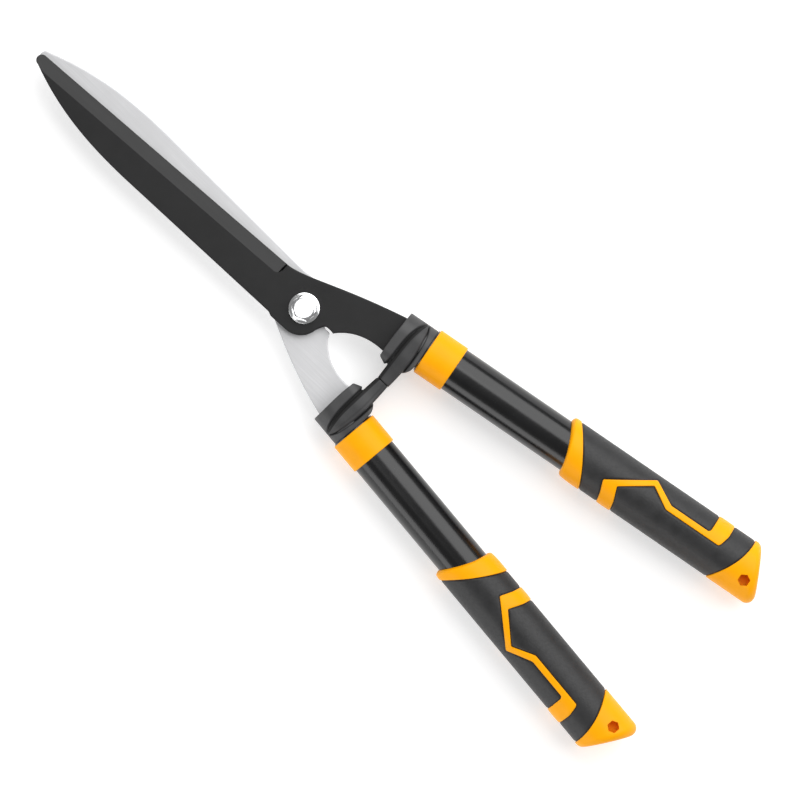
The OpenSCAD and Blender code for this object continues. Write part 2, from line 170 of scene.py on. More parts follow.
def soft_profile(corners: Sequence[Tuple[float, float, float]], steps: int = 4) -> np.ndarray:
    """A closed profile whose corners are rounded by quadratic Bezier curves.

    A corner's curve starts and ends at its own cut length from it. One more point, at 1.7 times
    that length, keeps the shading of the flat beside it even.

    Args:
        corners: (x, y, cut) for each corner; a cut of 0 keeps it sharp.
        steps: Pieces in each rounded corner.

    Returns:
        The profile's points, in the order of the corners.
    """
    spots = np.array([c[:2] for c in corners], float)
    t = np.linspace(0, 1, steps + 1)[:, None]
    rows: List[np.ndarray] = []
    for i, (_, _, cut) in enumerate(corners):
        spot, before, after = spots[i], spots[i - 1] - spots[i], spots[(i + 1) % len(spots)] - spots[i]
        if cut == 0:
            rows.append(spot[None])
            continue
        a, b = before / np.linalg.norm(before), after / np.linalg.norm(after)
        start, end = spot + a * cut, spot + b * cut
        curve = start * (1 - t) ** 2 + spot * 2 * t * (1 - t) + end * t * t
        rows.append(np.concatenate([[spot + a * cut * 1.7], curve, [spot + b * cut * 1.7]]))
    return np.concatenate(rows)


# ---------- meshes ----------


class Shell:
    """Points and faces of one piece while it is being made."""

    def __init__(self) -> None:
        """Starts with no points."""
        self.points: List[np.ndarray] = []
        self.faces: List[List[int]] = []
        self.shade: List[np.ndarray] = []
        self.count = 0

    def grid(
        self, points: np.ndarray, close_rows: bool = False, close_columns: bool = False,
        shade: Optional[np.ndarray] = None,
    ) -> int:
        """Adds a grid of quads.

        Args:
            points: Rows by columns by 3.
            close_rows: Joins the last row to the first.
            close_columns: Joins the last column to the first.
            shade: How much painted shade darkens each point, from 0 to 1.

        Returns:
            The number of the grid's first point.
        """
        rows, columns = points.shape[:2]
        r, c = np.meshgrid(
            np.arange(rows if close_rows else rows - 1),
            np.arange(columns if close_columns else columns - 1), indexing="ij",
        )
        r1, c1 = (r + 1) % rows, (c + 1) % columns
        quads = np.stack([r * columns + c, r * columns + c1, r1 * columns + c1, r1 * columns + c], -1)
        first = self.count
        self.faces.extend((quads.reshape(-1, 4) + first).tolist())
        self.points.append(points.reshape(-1, 3))
        self.shade.append(np.zeros(rows * columns) if shade is None else shade.reshape(-1))
        self.count += rows * columns
        return first

    def loft(self, rings: np.ndarray, shade: Optional[np.ndarray] = None) -> None:
        """Adds closed rings joined in a row, with a flat face over each end.

        Args:
            rings: Rings by points by 3.
            shade: How much painted shade darkens each point, from 0 to 1.
        """
        rows, columns = rings.shape[:2]
        first = self.grid(rings, close_columns=True, shade=shade)
        self.faces.append(list(range(first + columns - 1, first - 1, -1)))
        last = first + (rows - 1) * columns
        self.faces.append(list(range(last, last + columns)))

    def mesh(self, name: str) -> bpy.types.Mesh:
        """Makes the mesh, with doubles merged and faces turned outward.

        Each closed shell is turned by itself, so several may share one mesh.

        Args:
            name: The mesh's name.

        Returns:
            The mesh, with its painted shade amounts as an attribute.
        """
        made = bpy.data.meshes.new(name)
        made.from_pydata(np.concatenate(self.points).tolist(), [], self.faces)
        # The painted shade amounts are kept on the mesh as an attribute.
        depth = made.attributes.new("groove_and_shade", "FLOAT", "POINT")
        depth.data.foreach_set("value", np.concatenate(self.shade).astype(np.float32))
        tool = bmesh.new()
        tool.from_mesh(made)
        bmesh.ops.remove_doubles(tool, verts=tool.verts, dist=1e-7)
        bmesh.ops.recalc_face_normals(tool, faces=tool.faces)
        tool.to_mesh(made)
        tool.free()
        return made


def turned(r: np.ndarray, a: np.ndarray, s: Any) -> np.ndarray:
    """Points at radius r, angle a and station s of a handle: (r sin a, r cos a, s)."""
    return np.stack([r * np.sin(a), r * np.cos(a), np.broadcast_to(s, r.shape)], -1)


def lathe(profile: np.ndarray, segments: int) -> np.ndarray:
    """Turns a profile about an axis.

    Args:
        profile: (radius, station) pairs.
        segments: How many copies of the profile stand round the axis.

    Returns:
        Segments by profile points by 3.
    """
    r = np.broadcast_to(profile[:, 0], (segments, len(profile)))
    return turned(r, full_turn(segments)[:, None], profile[:, 1])


class Side(Enum):
    """The two halves; the lower one is turned over about the long axis."""

    UPPER = "upper"
    LOWER = "lower"


@dataclass(frozen=True)
class Half:
    """Where one half's own coordinates lie.

    Attributes:
        side: Which half it is.
        offset: How far from the pivot the handle's axis passes.
        lean: The blade's turn, in degrees.
        length: From the pivot's height to the grip's far end, along the handle.
        stop: Where the bumpers' contact face lies, in x.
        middle: Height of the plane that the halves lie on either side of.
        angle: The handle's turn outward, in degrees.
    """

    side: Side
    offset: float
    lean: float
    length: float
    stop: float
    middle: float = 17.5
    angle: float = 7.9

    @property
    def body(self) -> str:
        """The moving body that this half's pieces ride on."""
        return f"{self.side.value}_half"

    def name(self, piece: str) -> str:
        """A piece's name in this half."""
        return f"{self.side.value}_{piece}"

    def settle(self, points: np.ndarray) -> np.ndarray:
        """Puts points drawn about the middle plane in place; the lower half turns x and z over."""
        turn = 1 if self.side is Side.UPPER else -1
        return (points * [turn, 1, turn] + [0, 0, self.middle]) * MM

    def on_handle(self, w: Any, s: Any) -> np.ndarray:
        """Points beside the handle's axis, turned by its angle.

        Args:
            w: Distance outward of the axis.
            s: Distance along it from the pivot.

        Returns:
            (x, y) of each point.
        """
        a = math.radians(self.angle)
        out = self.offset + np.asarray(w, float)
        return np.stack([out * math.cos(a) + s * math.sin(a), out * math.sin(a) - s * math.cos(a)], -1)

    def on_blade(self, x: Any, y: Any) -> np.ndarray:
        """Points beside the blade's middle line, turned by its lean."""
        a = math.radians(self.lean)
        return np.stack([x * math.cos(a) - y * math.sin(a), x * math.sin(a) + y * math.cos(a)], -1)

    def handle(self, points: np.ndarray) -> np.ndarray:
        """Places points given as w outward, z up from the axis and s along the handle."""
        plan = self.on_handle(points[..., 0], points[..., 2])
        return self.settle(np.concatenate([plan, points[..., 1:2]], -1))


# ---------- shader expressions ----------


class Wire:
    """One output of a node, with arithmetic that adds Math nodes to its board."""

    def __init__(self, board: "Board", socket: bpy.types.NodeSocket) -> None:
        """Keeps the output and the board that it lies on."""
        self.board = board
        self.socket = socket

    def _math(self, operation: str, first: "Value", second: "Value" = 0.0, clamp: bool = False) -> "Wire":
        """A Math node on two values."""
        settings = {"operation": operation, "use_clamp": clamp}
        return self.board.wire("ShaderNodeMath", settings, {0: first, 1: second})

    def __add__(self, other: "Value") -> "Wire":
        """self + other."""
        return self._math("ADD", self, other)

    __radd__ = __add__

    def __sub__(self, other: "Value") -> "Wire":
        """self - other."""
        return self._math("SUBTRACT", self, other)

    def __rsub__(self, other: "Value") -> "Wire":
        """other - self."""
        return self._math("SUBTRACT", other, self)

    def __mul__(self, other: "Value") -> "Wire":
        """self * other."""
        return self._math("MULTIPLY", self, other)

    __rmul__ = __mul__

    def __truediv__(self, other: "Value") -> "Wire":
        """self / other."""
        return self._math("DIVIDE", self, other)

    def __rtruediv__(self, other: "Value") -> "Wire":
        """other / self."""
        return self._math("DIVIDE", other, self)

    def held(self) -> "Wire":
        """The value kept between 0 and 1."""
        return self._math("ADD", self, 0.0, clamp=True)

    def above(self, low: float, high: float) -> "Wire":
        """0 below low, 1 above high and a straight rise between."""
        return ((self - low) / (high - low)).held()


Value = Union[Wire, int, float]


class Board:
    """The node tree of one material, ending in a Principled shader."""

    def __init__(self, tree: bpy.types.NodeTree) -> None:
        """Clears the tree and adds the shader and the output.

        Args:
            tree: The material's node tree.
        """
        self.tree = tree
        tree.nodes.clear()
        self.shader = self.node("ShaderNodeBsdfPrincipled")
        self.node("ShaderNodeOutputMaterial", {}, {"Surface": self.shader.outputs[0]})
        self.place = self.wire("ShaderNodeTexCoord", output="Object")

    def node(
        self, kind: str, settings: Optional[Dict[str, Any]] = None, inputs: Optional[Dict[Any, Any]] = None
    ) -> bpy.types.Node:
        """Adds a node.

        Args:
            kind: Its Blender type.
            settings: Its own properties, such as a Math node's operation, which are set first.
            inputs: Values or links for its sockets, by name or number.

        Returns:
            The node.
        """
        made = self.tree.nodes.new(kind)
        for key, value in (settings or {}).items():
            setattr(made, key, value)
        for key, value in (inputs or {}).items():
            socket = made.inputs[key]
            if isinstance(value, Wire):
                self.tree.links.new(value.socket, socket)
            elif isinstance(value, bpy.types.NodeSocket):
                self.tree.links.new(value, socket)
            else:
                socket.default_value = value
        return made

    def wire(
        self, kind: str, settings: Optional[Dict[str, Any]] = None,
        inputs: Optional[Dict[Any, Any]] = None, output: Any = 0,
    ) -> Wire:
        """Adds a node and gives the output with the given name or number."""
        return Wire(self, self.node(kind, settings, inputs).outputs[output])

    def stretched(self, scale: Sequence[float], turn: float = 0.0) -> Wire:
        """Object coordinates turned about z and then scaled, for a pattern with a direction.

        Args:
            scale: Features in a metre along each axis.
            turn: The turn in degrees.

        Returns:
            The coordinates.
        """
        rotation = (0, 0, math.radians(turn))
        across = self.wire("ShaderNodeMapping", {}, {"Vector": self.place, "Rotation": rotation})
        return self.wire("ShaderNodeMapping", {}, {"Vector": across, "Scale": tuple(scale)})

    def noise(self, size: float, detail: float = 2.0, at: Optional[Wire] = None) -> Wire:
        """Noise from 0 to 1.

        Args:
            size: Width of its features in millimetres, where it reads the plain coordinates.
            detail: How many finer layers it has.
            at: Coordinates of its own, already scaled.

        Returns:
            The noise.
        """
        inputs = {"Vector": at or self.place, "Scale": 1.0 if at else 1.0 / (size * MM), "Detail": detail}
        return self.wire("ShaderNodeTexNoise", {}, inputs)

    def cells(self, size: float) -> Wire:
        """Distance to the nearest of a cloud of points about size millimetres apart."""
        inputs = {"Vector": self.place, "Scale": 1.0 / (size * MM)}
        return self.wire("ShaderNodeTexVoronoi", {"feature": "SMOOTH_F1"}, inputs, "Distance")

    def groove_and_shade(self) -> Wire:
        """The mesh's painted shade amount, from 0 to 1, which darkens grooves and edges."""
        return self.wire("ShaderNodeAttribute", {"attribute_name": "groove_and_shade"}, output="Fac")

    def mix(self, share: Value, first: Any, second: Any) -> Wire:
        """A colour between two."""
        inputs = {0: share, 6: first, 7: second}
        return self.wire("ShaderNodeMix", {"data_type": "RGBA"}, inputs, 2)

    def bump(self, height: Wire, depth: float) -> Wire:
        """A surface normal from a height map.

        Args:
            height: The height, from 0 to 1.
            depth: How many millimetres a height of 1 stands for.

        Returns:
            The normal.
        """
        return self.wire("ShaderNodeBump", {}, {"Height": height, "Distance": depth * MM, "Strength": 1.0})

    def finish(self, **sockets: Any) -> None:
        """Sets or links the Principled shader's sockets.

        Args:
            **sockets: A value or a wire for each, its name written with _ for a space.
        """
        for key, value in sockets.items():
            socket = self.shader.inputs[key.replace("_", " ")]
            if isinstance(value, Wire):
                self.tree.links.new(value.socket, socket)
            else:
                socket.default_value = value


def shade_of(colour: Colour, factor: float) -> Colour:
    """The colour made lighter or darker by a factor."""
    return (colour[0] * factor, colour[1] * factor, colour[2] * factor, 1.0)


@dataclass(frozen=True)
class Finish:
    """A surface finish: the record's slot it stands for and how it is made."""

    slot: str
    colour: Colour
    rough: float

    def dress(self, board: Board) -> None:
        """Builds the nodes; each kind of finish has its own."""
        raise NotImplementedError

    def material(self) -> bpy.types.Material:
        """The finish as a material, made once.

        Returns:
            The material, the same one at every call.
        """
        name = f"{self.slot}_finish"
        found = bpy.data.materials.get(name)
        if found:
            return found
        made = bpy.data.materials.new(name)
        made.use_nodes = True
        self.dress(Board(made.node_tree))
        return made


@dataclass(frozen=True)
class CoatedBlade(Finish):
    """Non-stick coating on steel: matt charcoal with a fine sprayed grain and faint wiping marks."""

    turn: float = 0.0

    def dress(self, board: Board) -> None:
        """Grain as bump, slow mottling in colour, long faint streaks in roughness, and painted shade where
        the mesh's attribute says.

        Args:
            board: The material's nodes.
        """
        grain = board.noise(0.22, 2)
        cloud = board.noise(14, 3)
        streak = board.noise(1, 3, board.stretched((900, 26, 900), self.turn))
        base = board.mix(cloud.above(0.3, 0.75), shade_of(self.colour, 0.88), shade_of(self.colour, 1.14))
        board.finish(
            # Painted shade: the colour falls to a tenth in the run-out groove and along the cutting edge.
            Base_Color=board.mix(board.groove_and_shade(), base, shade_of(self.colour, 0.1)),
            Roughness=self.rough + 0.12 * (streak - 0.5) + 0.1 * (grain - 0.5),
            Normal=board.bump(grain, 0.012),
            Specular_IOR_Level=0.3,
        )


@dataclass(frozen=True)
class GroundSteel(Finish):
    """Bare ground steel: fine lines along the blade, cloudy satin and a few faint scratches."""

    turn: float = 0.0

    def dress(self, board: Board) -> None:
        """Two widths of grinding lines in bump and roughness over a cloudy colour.

        Args:
            board: The material's nodes.
        """
        fine = board.noise(1, 2, board.stretched((5200, 60, 5200), self.turn))
        broad = board.noise(1, 3, board.stretched((1300, 22, 1300), self.turn))
        cloud = board.noise(22, 3)
        tone = board.mix(cloud.above(0.3, 0.7), shade_of(self.colour, 0.93), shade_of(self.colour, 1.04))
        lines = board.mix((0.5 * fine + 0.5 * broad).above(0.4, 0.62), shade_of(self.colour, 0.92), tone)
        board.finish(
            Base_Color=lines,
            Roughness=self.rough + 0.16 * (fine - 0.5) + 0.14 * (broad - 0.5),
            Normal=board.bump(0.6 * fine + 0.4 * broad, 0.01),
            Metallic=0.4,
        )


@dataclass(frozen=True)
class Metal(Finish):
    """Plated or plain metal: slight clouding, with fine turning or handling marks."""

    mark_size: float = 0.5
    mark_depth: float = 0.004
    tint: Colour = (1.0, 1.0, 1.0, 1.0)

    def dress(self, board: Board) -> None:
        """A tint that comes and goes, and marks in roughness and bump.

        Args:
            board: The material's nodes.
        """
        cloud = board.noise(5, 3)
        marks = board.noise(self.mark_size, 3)
        board.finish(
            Base_Color=board.mix(cloud.above(0.35, 0.7), self.colour, self.tint),
            Roughness=self.rough + 0.14 * (cloud - 0.5) + 0.1 * (marks - 0.5),
            Normal=board.bump(marks, self.mark_depth),
            Metallic=1.0,
        )


@dataclass(frozen=True)
class Plastic(Finish):
    """Moulded plastic or rubber: an eroded mould texture, clouding, and painted shade in its grooves."""

    grain: float = 0.35
    grain_depth: float = 0.02
    cloud: float = 0.1
    # Factor on the colour where the painted shade is full.
    groove_and_shade: float = 0.35
    gloss: float = 0.5

    def dress(self, board: Board) -> None:
        """Grain from noise and cells in bump and roughness; grooves get painted shade and go duller.

        Args:
            board: The material's nodes.
        """
        fine = board.noise(self.grain, 3)
        pits = board.cells(self.grain * 2.2)
        slow = board.noise(11, 3)
        base = board.mix(
            slow.above(0.3, 0.7), shade_of(self.colour, 1 - self.cloud), shade_of(self.colour, 1 + self.cloud)
        )
        # Painted shade: the colour darkens by the mesh's attribute, in grooves and along dark edges.
        base_with_painted_shade = board.mix(board.groove_and_shade(), base, shade_of(self.colour, self.groove_and_shade))
        board.finish(
            Base_Color=base_with_painted_shade,
            Roughness=(self.rough + 0.12 * (fine - 0.5) + 0.1 * (slow - 0.5) + 0.2 * board.groove_and_shade()).held(),
            Normal=board.bump(0.65 * fine + 0.35 * pits, self.grain_depth),
            Specular_IOR_Level=self.gloss,
        )


@dataclass(frozen=True)
class GripRubber(Finish):
    """Soft overmoulded rubber: charcoal, mottled, with a fine pebbled skin."""

    pebble: float = 1.1

    def dress(self, board: Board) -> None:
        """Pebbles from cells over broad mottling; high places are rubbed slightly smoother, and the seams get
        painted shade.

        Args:
            board: The material's nodes.
        """
        pebbles = board.cells(self.pebble)
        fine = board.noise(0.3, 3)
        mottle = board.noise(7, 4)
        base = board.mix(mottle.above(0.3, 0.72), shade_of(self.colour, 0.78), shade_of(self.colour, 1.3))
        # Painted shade: the seams darken to 0.3 of the colour.
        base_with_painted_shade = board.mix(board.groove_and_shade(), base, shade_of(self.colour, 0.3))
        board.finish(
            Base_Color=base_with_painted_shade,
            Roughness=(
                self.rough + 0.16 * (mottle - 0.5) + 0.2 * (pebbles - 0.4) + 0.1 * board.groove_and_shade()
            ).held(),
            Normal=board.bump(0.7 * pebbles + 0.3 * fine, 0.07),
            Specular_IOR_Level=0.42,
        )


@dataclass(frozen=True)
class GlossPaint(Finish):
    """Baked gloss paint on a drawn tube: deep black with a slight orange-peel ripple."""

    def dress(self, board: Board) -> None:
        """Ripple and dust specks in bump and roughness, and a barely uneven black.

        Args:
            board: The material's nodes.
        """
        ripple = board.noise(2.4, 1)
        cloud = board.noise(16, 3)
        speck = board.noise(0.5, 1).above(0.72, 0.8)
        base = board.mix(cloud.above(0.3, 0.7), shade_of(self.colour, 0.8), shade_of(self.colour, 1.3))
        board.finish(
            Base_Color=base,
            Roughness=(self.rough + 0.08 * (cloud - 0.5) + 0.15 * speck).held(),
            Normal=board.bump(ripple, 0.012),
        )


BLACK_BLADE = CoatedBlade("black_blade", (0.012, 0.012, 0.0123, 1), 0.4, turn=1.5)
BRIGHT_BLADE = GroundSteel("bright_blade", (0.64, 0.64, 0.65, 1), 0.42, turn=1.5)
PLATING = Metal(
    "bright_plating", (0.88, 0.89, 0.9, 1), 0.15, mark_size=2.5, mark_depth=0.002, tint=(0.94, 0.94, 0.95, 1)
)
PLAIN_STEEL = Metal("plain_steel", (0.62, 0.63, 0.65, 1), 0.3, tint=(0.72, 0.71, 0.66, 1))
SPRING_STEEL = Metal("spring_steel", (0.2, 0.2, 0.22, 1), 0.38, tint=(0.26, 0.25, 0.24, 1))
BRASS = Metal("bearing_brass", (0.72, 0.53, 0.25, 1), 0.3, tint=(0.62, 0.42, 0.18, 1))
NYLON = Plastic("nut_nylon", (0.05, 0.13, 0.42, 1), 0.4, grain=0.5, grain_depth=0.01)
SOCKET_PLASTIC = Plastic("socket_plastic", (0.042, 0.042, 0.043, 1), 0.5, groove_and_shade=0.1)
BUMPER_RUBBER = Plastic(
    "bumper_rubber", (0.038, 0.038, 0.039, 1), 0.52, grain=0.5, cloud=0.16, groove_and_shade=0.08, gloss=0.4
)
TUBE_PAINT = GlossPaint("tube_paint", (0.004, 0.004, 0.0043, 1), 0.22)
YELLOW = Plastic(
    "yellow_plastic", (1.0, 0.405, 0.0, 1), 0.42, grain=0.45, grain_depth=0.006, cloud=0.03, groove_and_shade=0.3,
    gloss=0.14,
)
GRIP_RUBBER = GripRubber("grip_rubber", (0.018, 0.018, 0.0187, 1), 0.5)


# ---------- pieces ----------


@dataclass
class Piece:
    """One visible piece: what it is called, what it stands for and where it rides."""

    name: str
    body: str
    finish: Finish
    stands_for: Tuple[str, ...]
    crease: float = 35.0
    shell: Shell = field(default_factory=Shell)

    def make(self, cutter: Optional[Shell] = None) -> bpy.types.Object:
        """Turns the shell into an object in the frame.

        Args:
            cutter: A closed shell taken away from the piece.

        Returns:
            The finished object.
        """
        mesh = self.shell.mesh(self.name)
        made = bpy.data.objects.new(f"{self.name}_look", mesh)
        bpy.context.scene.collection.objects.link(made)
        if cutter:
            made.data = self._cut(made, cutter)
        made.data.materials.append(self.finish.material())
        made.data.polygons.foreach_set("use_smooth", np.ones(len(made.data.polygons), bool))
        made.data.set_sharp_from_angle(angle=math.radians(self.crease))
        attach(made, self.body)
        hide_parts(*self.stands_for)
        count = len(made.data.polygons)
        LOG.info("%s: %d faces, stands for %s", made.name, count, ", ".join(self.stands_for))
        return made

    def _cut(self, made: bpy.types.Object, cutter: Shell) -> bpy.types.Mesh:
        """Takes the cutter's space away.

        Args:
            made: The object.
            cutter: A closed shell.

        Returns:
            The object's new mesh.
        """
        tool = bpy.data.objects.new("cutter", cutter.mesh("cutter"))
        bpy.context.scene.collection.objects.link(tool)
        take = made.modifiers.new("cut", "BOOLEAN")
        take.operation = "DIFFERENCE"
        take.solver = "EXACT"
        take.object = tool
        graph = bpy.context.evaluated_depsgraph_get()
        result = bpy.data.meshes.new_from_object(made.evaluated_get(graph))
        made.modifiers.clear()
        bpy.data.objects.remove(tool)
        return result


@dataclass
class Blade:
    """A blade and its tang: a plate with softened edges and one ground bevel."""

    half: Half
    finish: Finish
    thick: float = 4.0
    apart: float = 0.25
    tip_y: float = 216.6
    tip_x: float = -1.5
    tip_r: float = 3.4
    spine_w: float = 18.5
    spine_heel_w: float = 16.2
    spine_power: float = 2.45
    point_len: float = 84.0
    heel_r: float = 14.0
    edge_heel: Pair = (12.0, 25.0)
    bevel_w: float = 8.3
    bevel_corner: float = 3.3
    edge_t: float = 0.6
    soft: float = 0.45
    tang_half_w: float = 9.29
    mouth_extra: float = 5.8
    socket_front: float = 54.0
    tang_end: float = 112.0
    tang_bend: float = 64.0
    bore_r: float = 5.05
    boss: Pair = (-3.0, 0.0)
    boss_ends: Pair = (262.0, 180.0)
    notch: Tuple[Pair, ...] = ((0.7, -21.5), (0.6, -17.2), (-0.5, -16.0))
    step: Tuple[Pair, ...] = ((-17.0, 0.0), (-17.0, 12.0))
    step_gap: float = 0.35
    face_row: float = 0.6
    runout_w: float = 0.35
    runout_depth: float = 0.6

    @property
    def bevel_y(self) -> float:
        """Distance from the pivot at which the ground bevel starts."""
        return self.edge_heel[1] + self.step_gap

    def spine(self, y: np.ndarray) -> np.ndarray:
        """The spine: straight from the boss, then in to the tip by a power of the share of the point.

        Args:
            y: Distances from the pivot along the blade.

        Returns:
            (x, y) of each point.
        """
        t = np.clip((y - (self.tip_y - self.point_len)) / self.point_len, 0, 1)
        reach = self.spine_w + self.tip_x - self.tip_r
        share = np.clip((y - self.heel_r) / (self.tip_y - self.point_len - self.heel_r), 0, 1)
        straight = -self.spine_heel_w - (self.spine_w - self.spine_heel_w) * share
        return self.half.on_blade(straight + reach * t**self.spine_power, y)

    def edge(self, y: np.ndarray) -> np.ndarray:
        """The cutting edge: a straight line from its heel to the tip's round.

        Args:
            y: Distances from the pivot along the blade.

        Returns:
            (x, y) of each point.
        """
        share = (y - self.edge_heel[1]) / (self.tip_y - self.edge_heel[1])
        heel_x, end_x = self.edge_heel[0], self.tip_x + self.tip_r
        return self.half.on_blade(heel_x + (end_x - heel_x) * share, y)

    def neck(self) -> Tuple[List[np.ndarray], List[np.ndarray]]:
        """The plain part of the outline, from the tang's end to the ground bevel's step.

        On the left it is the tang, a Bezier curve to the notch, the round boss and the step. On the
        right it is the tang and one long Bezier curve to the heel of the cutting edge, cut into as
        many stretches, so that the points pair up across the plate.

        Returns:
            The stretches of the left side and of the right side.
        """
        h = self.half
        inner = h.on_handle(-self.tang_half_w - self.mouth_extra, self.socket_front - 0.7)
        outer = h.on_handle(self.tang_half_w, self.socket_front)
        heel = h.on_blade(*self.edge_heel)
        sweep = (outer, (outer[0] - 12.4, -6.0), (heel[0] + 0.9, self.edge_heel[1] - 13), tuple(heel))
        start = np.array([inner[0] - 12.5, -23.0])
        crotch = (inner, inner + [0.3, 14.0], start + [7.0, -5.5], start)
        first, last = self.boss_ends
        low = arc(self.boss, self.heel_r, np.array([first]))[0]
        notch = softened(along([start, *self.notch, low], np.linspace(0, 1, 25)), 2)[1:]
        step_end = self.spine(np.array([self.heel_r + 0.01, self.bevel_y]))
        step = softened(along([*self.step, *step_end], np.linspace(0, 1, 51)), 2)[1:-1]
        tang_s = np.linspace(self.tang_end, self.tang_bend, 5)
        left = [
            h.on_handle(-self.tang_half_w, tang_s),
            along([h.on_handle(-self.tang_half_w, self.tang_bend), inner], shares(6)),
            bezier(crotch, shares(44)), notch,
            arc(self.boss, self.heel_r, first + (last - first) * shares(36)), step,
        ]
        right = [
            h.on_handle(self.tang_half_w, tang_s),
            along([h.on_handle(self.tang_half_w, self.tang_bend), outer], shares(6)),
            bezier(sweep, 0.4 * shares(44)), bezier(sweep, 0.4 + 0.12 * shares(24)),
            bezier(sweep, 0.52 + 0.18 * shares(36)), bezier(sweep, 0.7 + 0.3 * shares(49)),
        ]
        return left, right

    def chains(self) -> Tuple[np.ndarray, np.ndarray, np.ndarray, np.ndarray]:
        """The two sides of the outline, paired point by point from the tang's end to the tip.

        Returns:
            Left side, right side, whether each pair is on the ground blade, and the bevel's width there.
        """
        left, right = self.neck()
        plain = sum(len(part) for part in left)
        turn = np.linspace(0, np.pi / 2, 13)
        corner_y = self.bevel_y + self.bevel_corner * (1 - np.cos(turn))
        body_y = corner_y[-1] + (self.tip_y - self.point_len - corner_y[-1]) * shares(20)
        point_y = body_y[-1] + self.point_len * shares(64)
        for y in (corner_y, body_y, point_y):
            left.append(self.spine(y))
            right.append(self.edge(y))
        round_a = np.radians(90 * shares(16) * 0.95)
        round_x, round_y = self.tip_r * np.cos(round_a), self.tip_y + self.tip_r * np.sin(round_a)
        left.append(self.half.on_blade(self.tip_x - round_x, round_y))
        right.append(self.half.on_blade(self.tip_x + round_x, round_y))
        outline = np.concatenate(left)
        wide = np.full(len(outline), self.bevel_w)
        wide[:plain] -= self.bevel_corner
        wide[plain:plain + len(turn)] -= self.bevel_corner * (1 - np.sin(turn))
        return outline, np.concatenate(right), np.arange(len(outline)) >= plain, wide

    def face(self, points: np.ndarray, ground: np.ndarray) -> np.ndarray:
        """Height of the outer face, the lower of the plate's face and the bevel's plane.

        The plane is edge_t + slope * distance from the cutting edge.

        Args:
            points: Rows by columns by 2.
            ground: Which rows are on the ground blade.

        Returns:
            The height at each point.
        """
        heel, square = self.half.on_blade(*self.edge_heel), self.edge_run()[::-1] * [-1, 1]
        slope = (self.thick - self.edge_t) / self.bevel_w
        plane = self.apart + self.edge_t + slope * ((points - heel) @ square)
        top = self.apart + self.thick
        return np.where(ground[:, None], np.minimum(top, plane), top)

    def edge_run(self) -> np.ndarray:
        """Unit vector along the cutting edge, from its heel to the tip."""
        run = self.half.on_blade(self.tip_x + self.tip_r, self.tip_y) - self.half.on_blade(*self.edge_heel)
        return run / np.linalg.norm(run)

    def rings(self) -> Tuple[np.ndarray, np.ndarray]:
        """Sections across the plate, paired with the chains, and the painted shade at each point.

        A side's edge is a quarter round from the face to the wall, and one more point on the face,
        face_row further in, keeps its shading even. On the ground blade the right side is the
        bevel's slope down to a thin edge. A narrow run-out groove crosses the bevel beside its step;
        the groove and the cutting edge get painted shade.

        Returns:
            Sections by 22 points by 3, and the painted shade at each point.
        """
        left, right, ground, wide = self.chains()
        rows = len(left)
        z0, z1 = self.apart, self.apart + self.thick
        across = left - right
        span = np.linalg.norm(across, axis=1)
        across /= span[:, None]
        small = np.minimum(1, 0.4 * span / (self.soft + self.face_row))
        skew_left = np.clip(-(inward(left, 1) * across).sum(1), 0.45, 1)
        skew_right = np.clip((inward(right, -1) * across).sum(1), 0.45, 1)
        a = np.radians([0, 0, 30, 60, 90])
        inset = self.soft * (1 - np.sin(a)) + [self.face_row, 0, 0, 0, 0]
        drop = self.soft * (1 - np.cos(a))

        # The left side, from the bottom face round the wall to the top face.
        near = left[:, None] - across[:, None] * (inset * (small / skew_left)[:, None])[..., None]
        bottom = np.broadcast_to(z0 + drop, near.shape[:2])
        top = self.face(near, ground) - drop * small[:, None]
        under_side = np.concatenate([near, bottom[..., None]], -1)
        upper_side = np.concatenate([near, top[..., None]], -1)
        column = np.concatenate([under_side, upper_side[:, ::-1]], 1)

        # The right side: down the bevel on the ground blade, elsewhere rounded like the left side.
        reach = np.minimum(wide, span - (self.soft + self.face_row + 0.1) * small)
        slope_in = np.outer(reach, [1, 1, 0.6, 0.3, 0.12, 0.04, 0])
        under_in = np.outer(small, [0, 0.03, 0.1, self.soft, self.soft + self.face_row])
        far_cut = right[:, None] + across[:, None] * np.concatenate([slope_in, under_in], 1)[..., None]
        rounds = np.tile(np.concatenate([inset, inset[::-1]]), (rows, 1))
        plain_in = np.concatenate([reach[:, None] + self.face_row, reach[:, None], rounds], 1)
        plain_in /= skew_right[:, None]
        far_plain = right[:, None] + across[:, None] * plain_in[..., None]
        lift = np.broadcast_to(np.concatenate([[z1, z1], z1 - drop, z0 + drop[::-1]]), (rows, 12))

        # Heights on the bevel, with the run-out groove beside the step.
        height = self.face(far_cut, ground)
        heel = self.half.on_blade(*self.edge_heel)
        past_step = np.where(ground, (right - heel) @ self.edge_run() - 0.6, 9)
        groove_and_shade = np.exp(-((past_step / self.runout_w) ** 2))
        height[:, 1:7] -= self.runout_depth * (height[:, 1:7] - z0) * groove_and_shade[:, None]
        height[:, 0] = np.where(reach < wide - 1e-6, height[:, 0], z1)
        height[:, 7:] = z0 + np.array([0.1, 0.03, 0, 0, 0])
        far = np.where(ground[:, None, None], far_cut, far_plain)
        far_z = np.where(ground[:, None], height, lift)
        # Painted shade: dark in the run-out groove beside the step and along the ground cutting edge.
        shade = np.zeros((rows, 22))
        shade[:, 11:17] = groove_and_shade[:, None]
        shade[:, 16] = np.where(ground, 1, shade[:, 16])
        return np.concatenate([column, np.concatenate([far, far_z[..., None]], -1)], 1), shade

    def build(self) -> None:
        """Makes the blade, bored for the bolt's shoulder."""
        piece = Piece(self.half.name("blade"), self.half.body, self.finish, (self.half.name("blade"),))
        rings, shade = self.rings()
        piece.shell.loft(self.half.settle(rings), shade)
        bore, past = Shell(), 20.0
        ring = lathe(np.array([[self.bore_r, -past], [self.bore_r, past]]), 96)
        bore.loft(self.half.settle(ring).transpose(1, 0, 2))
        piece.make(bore)


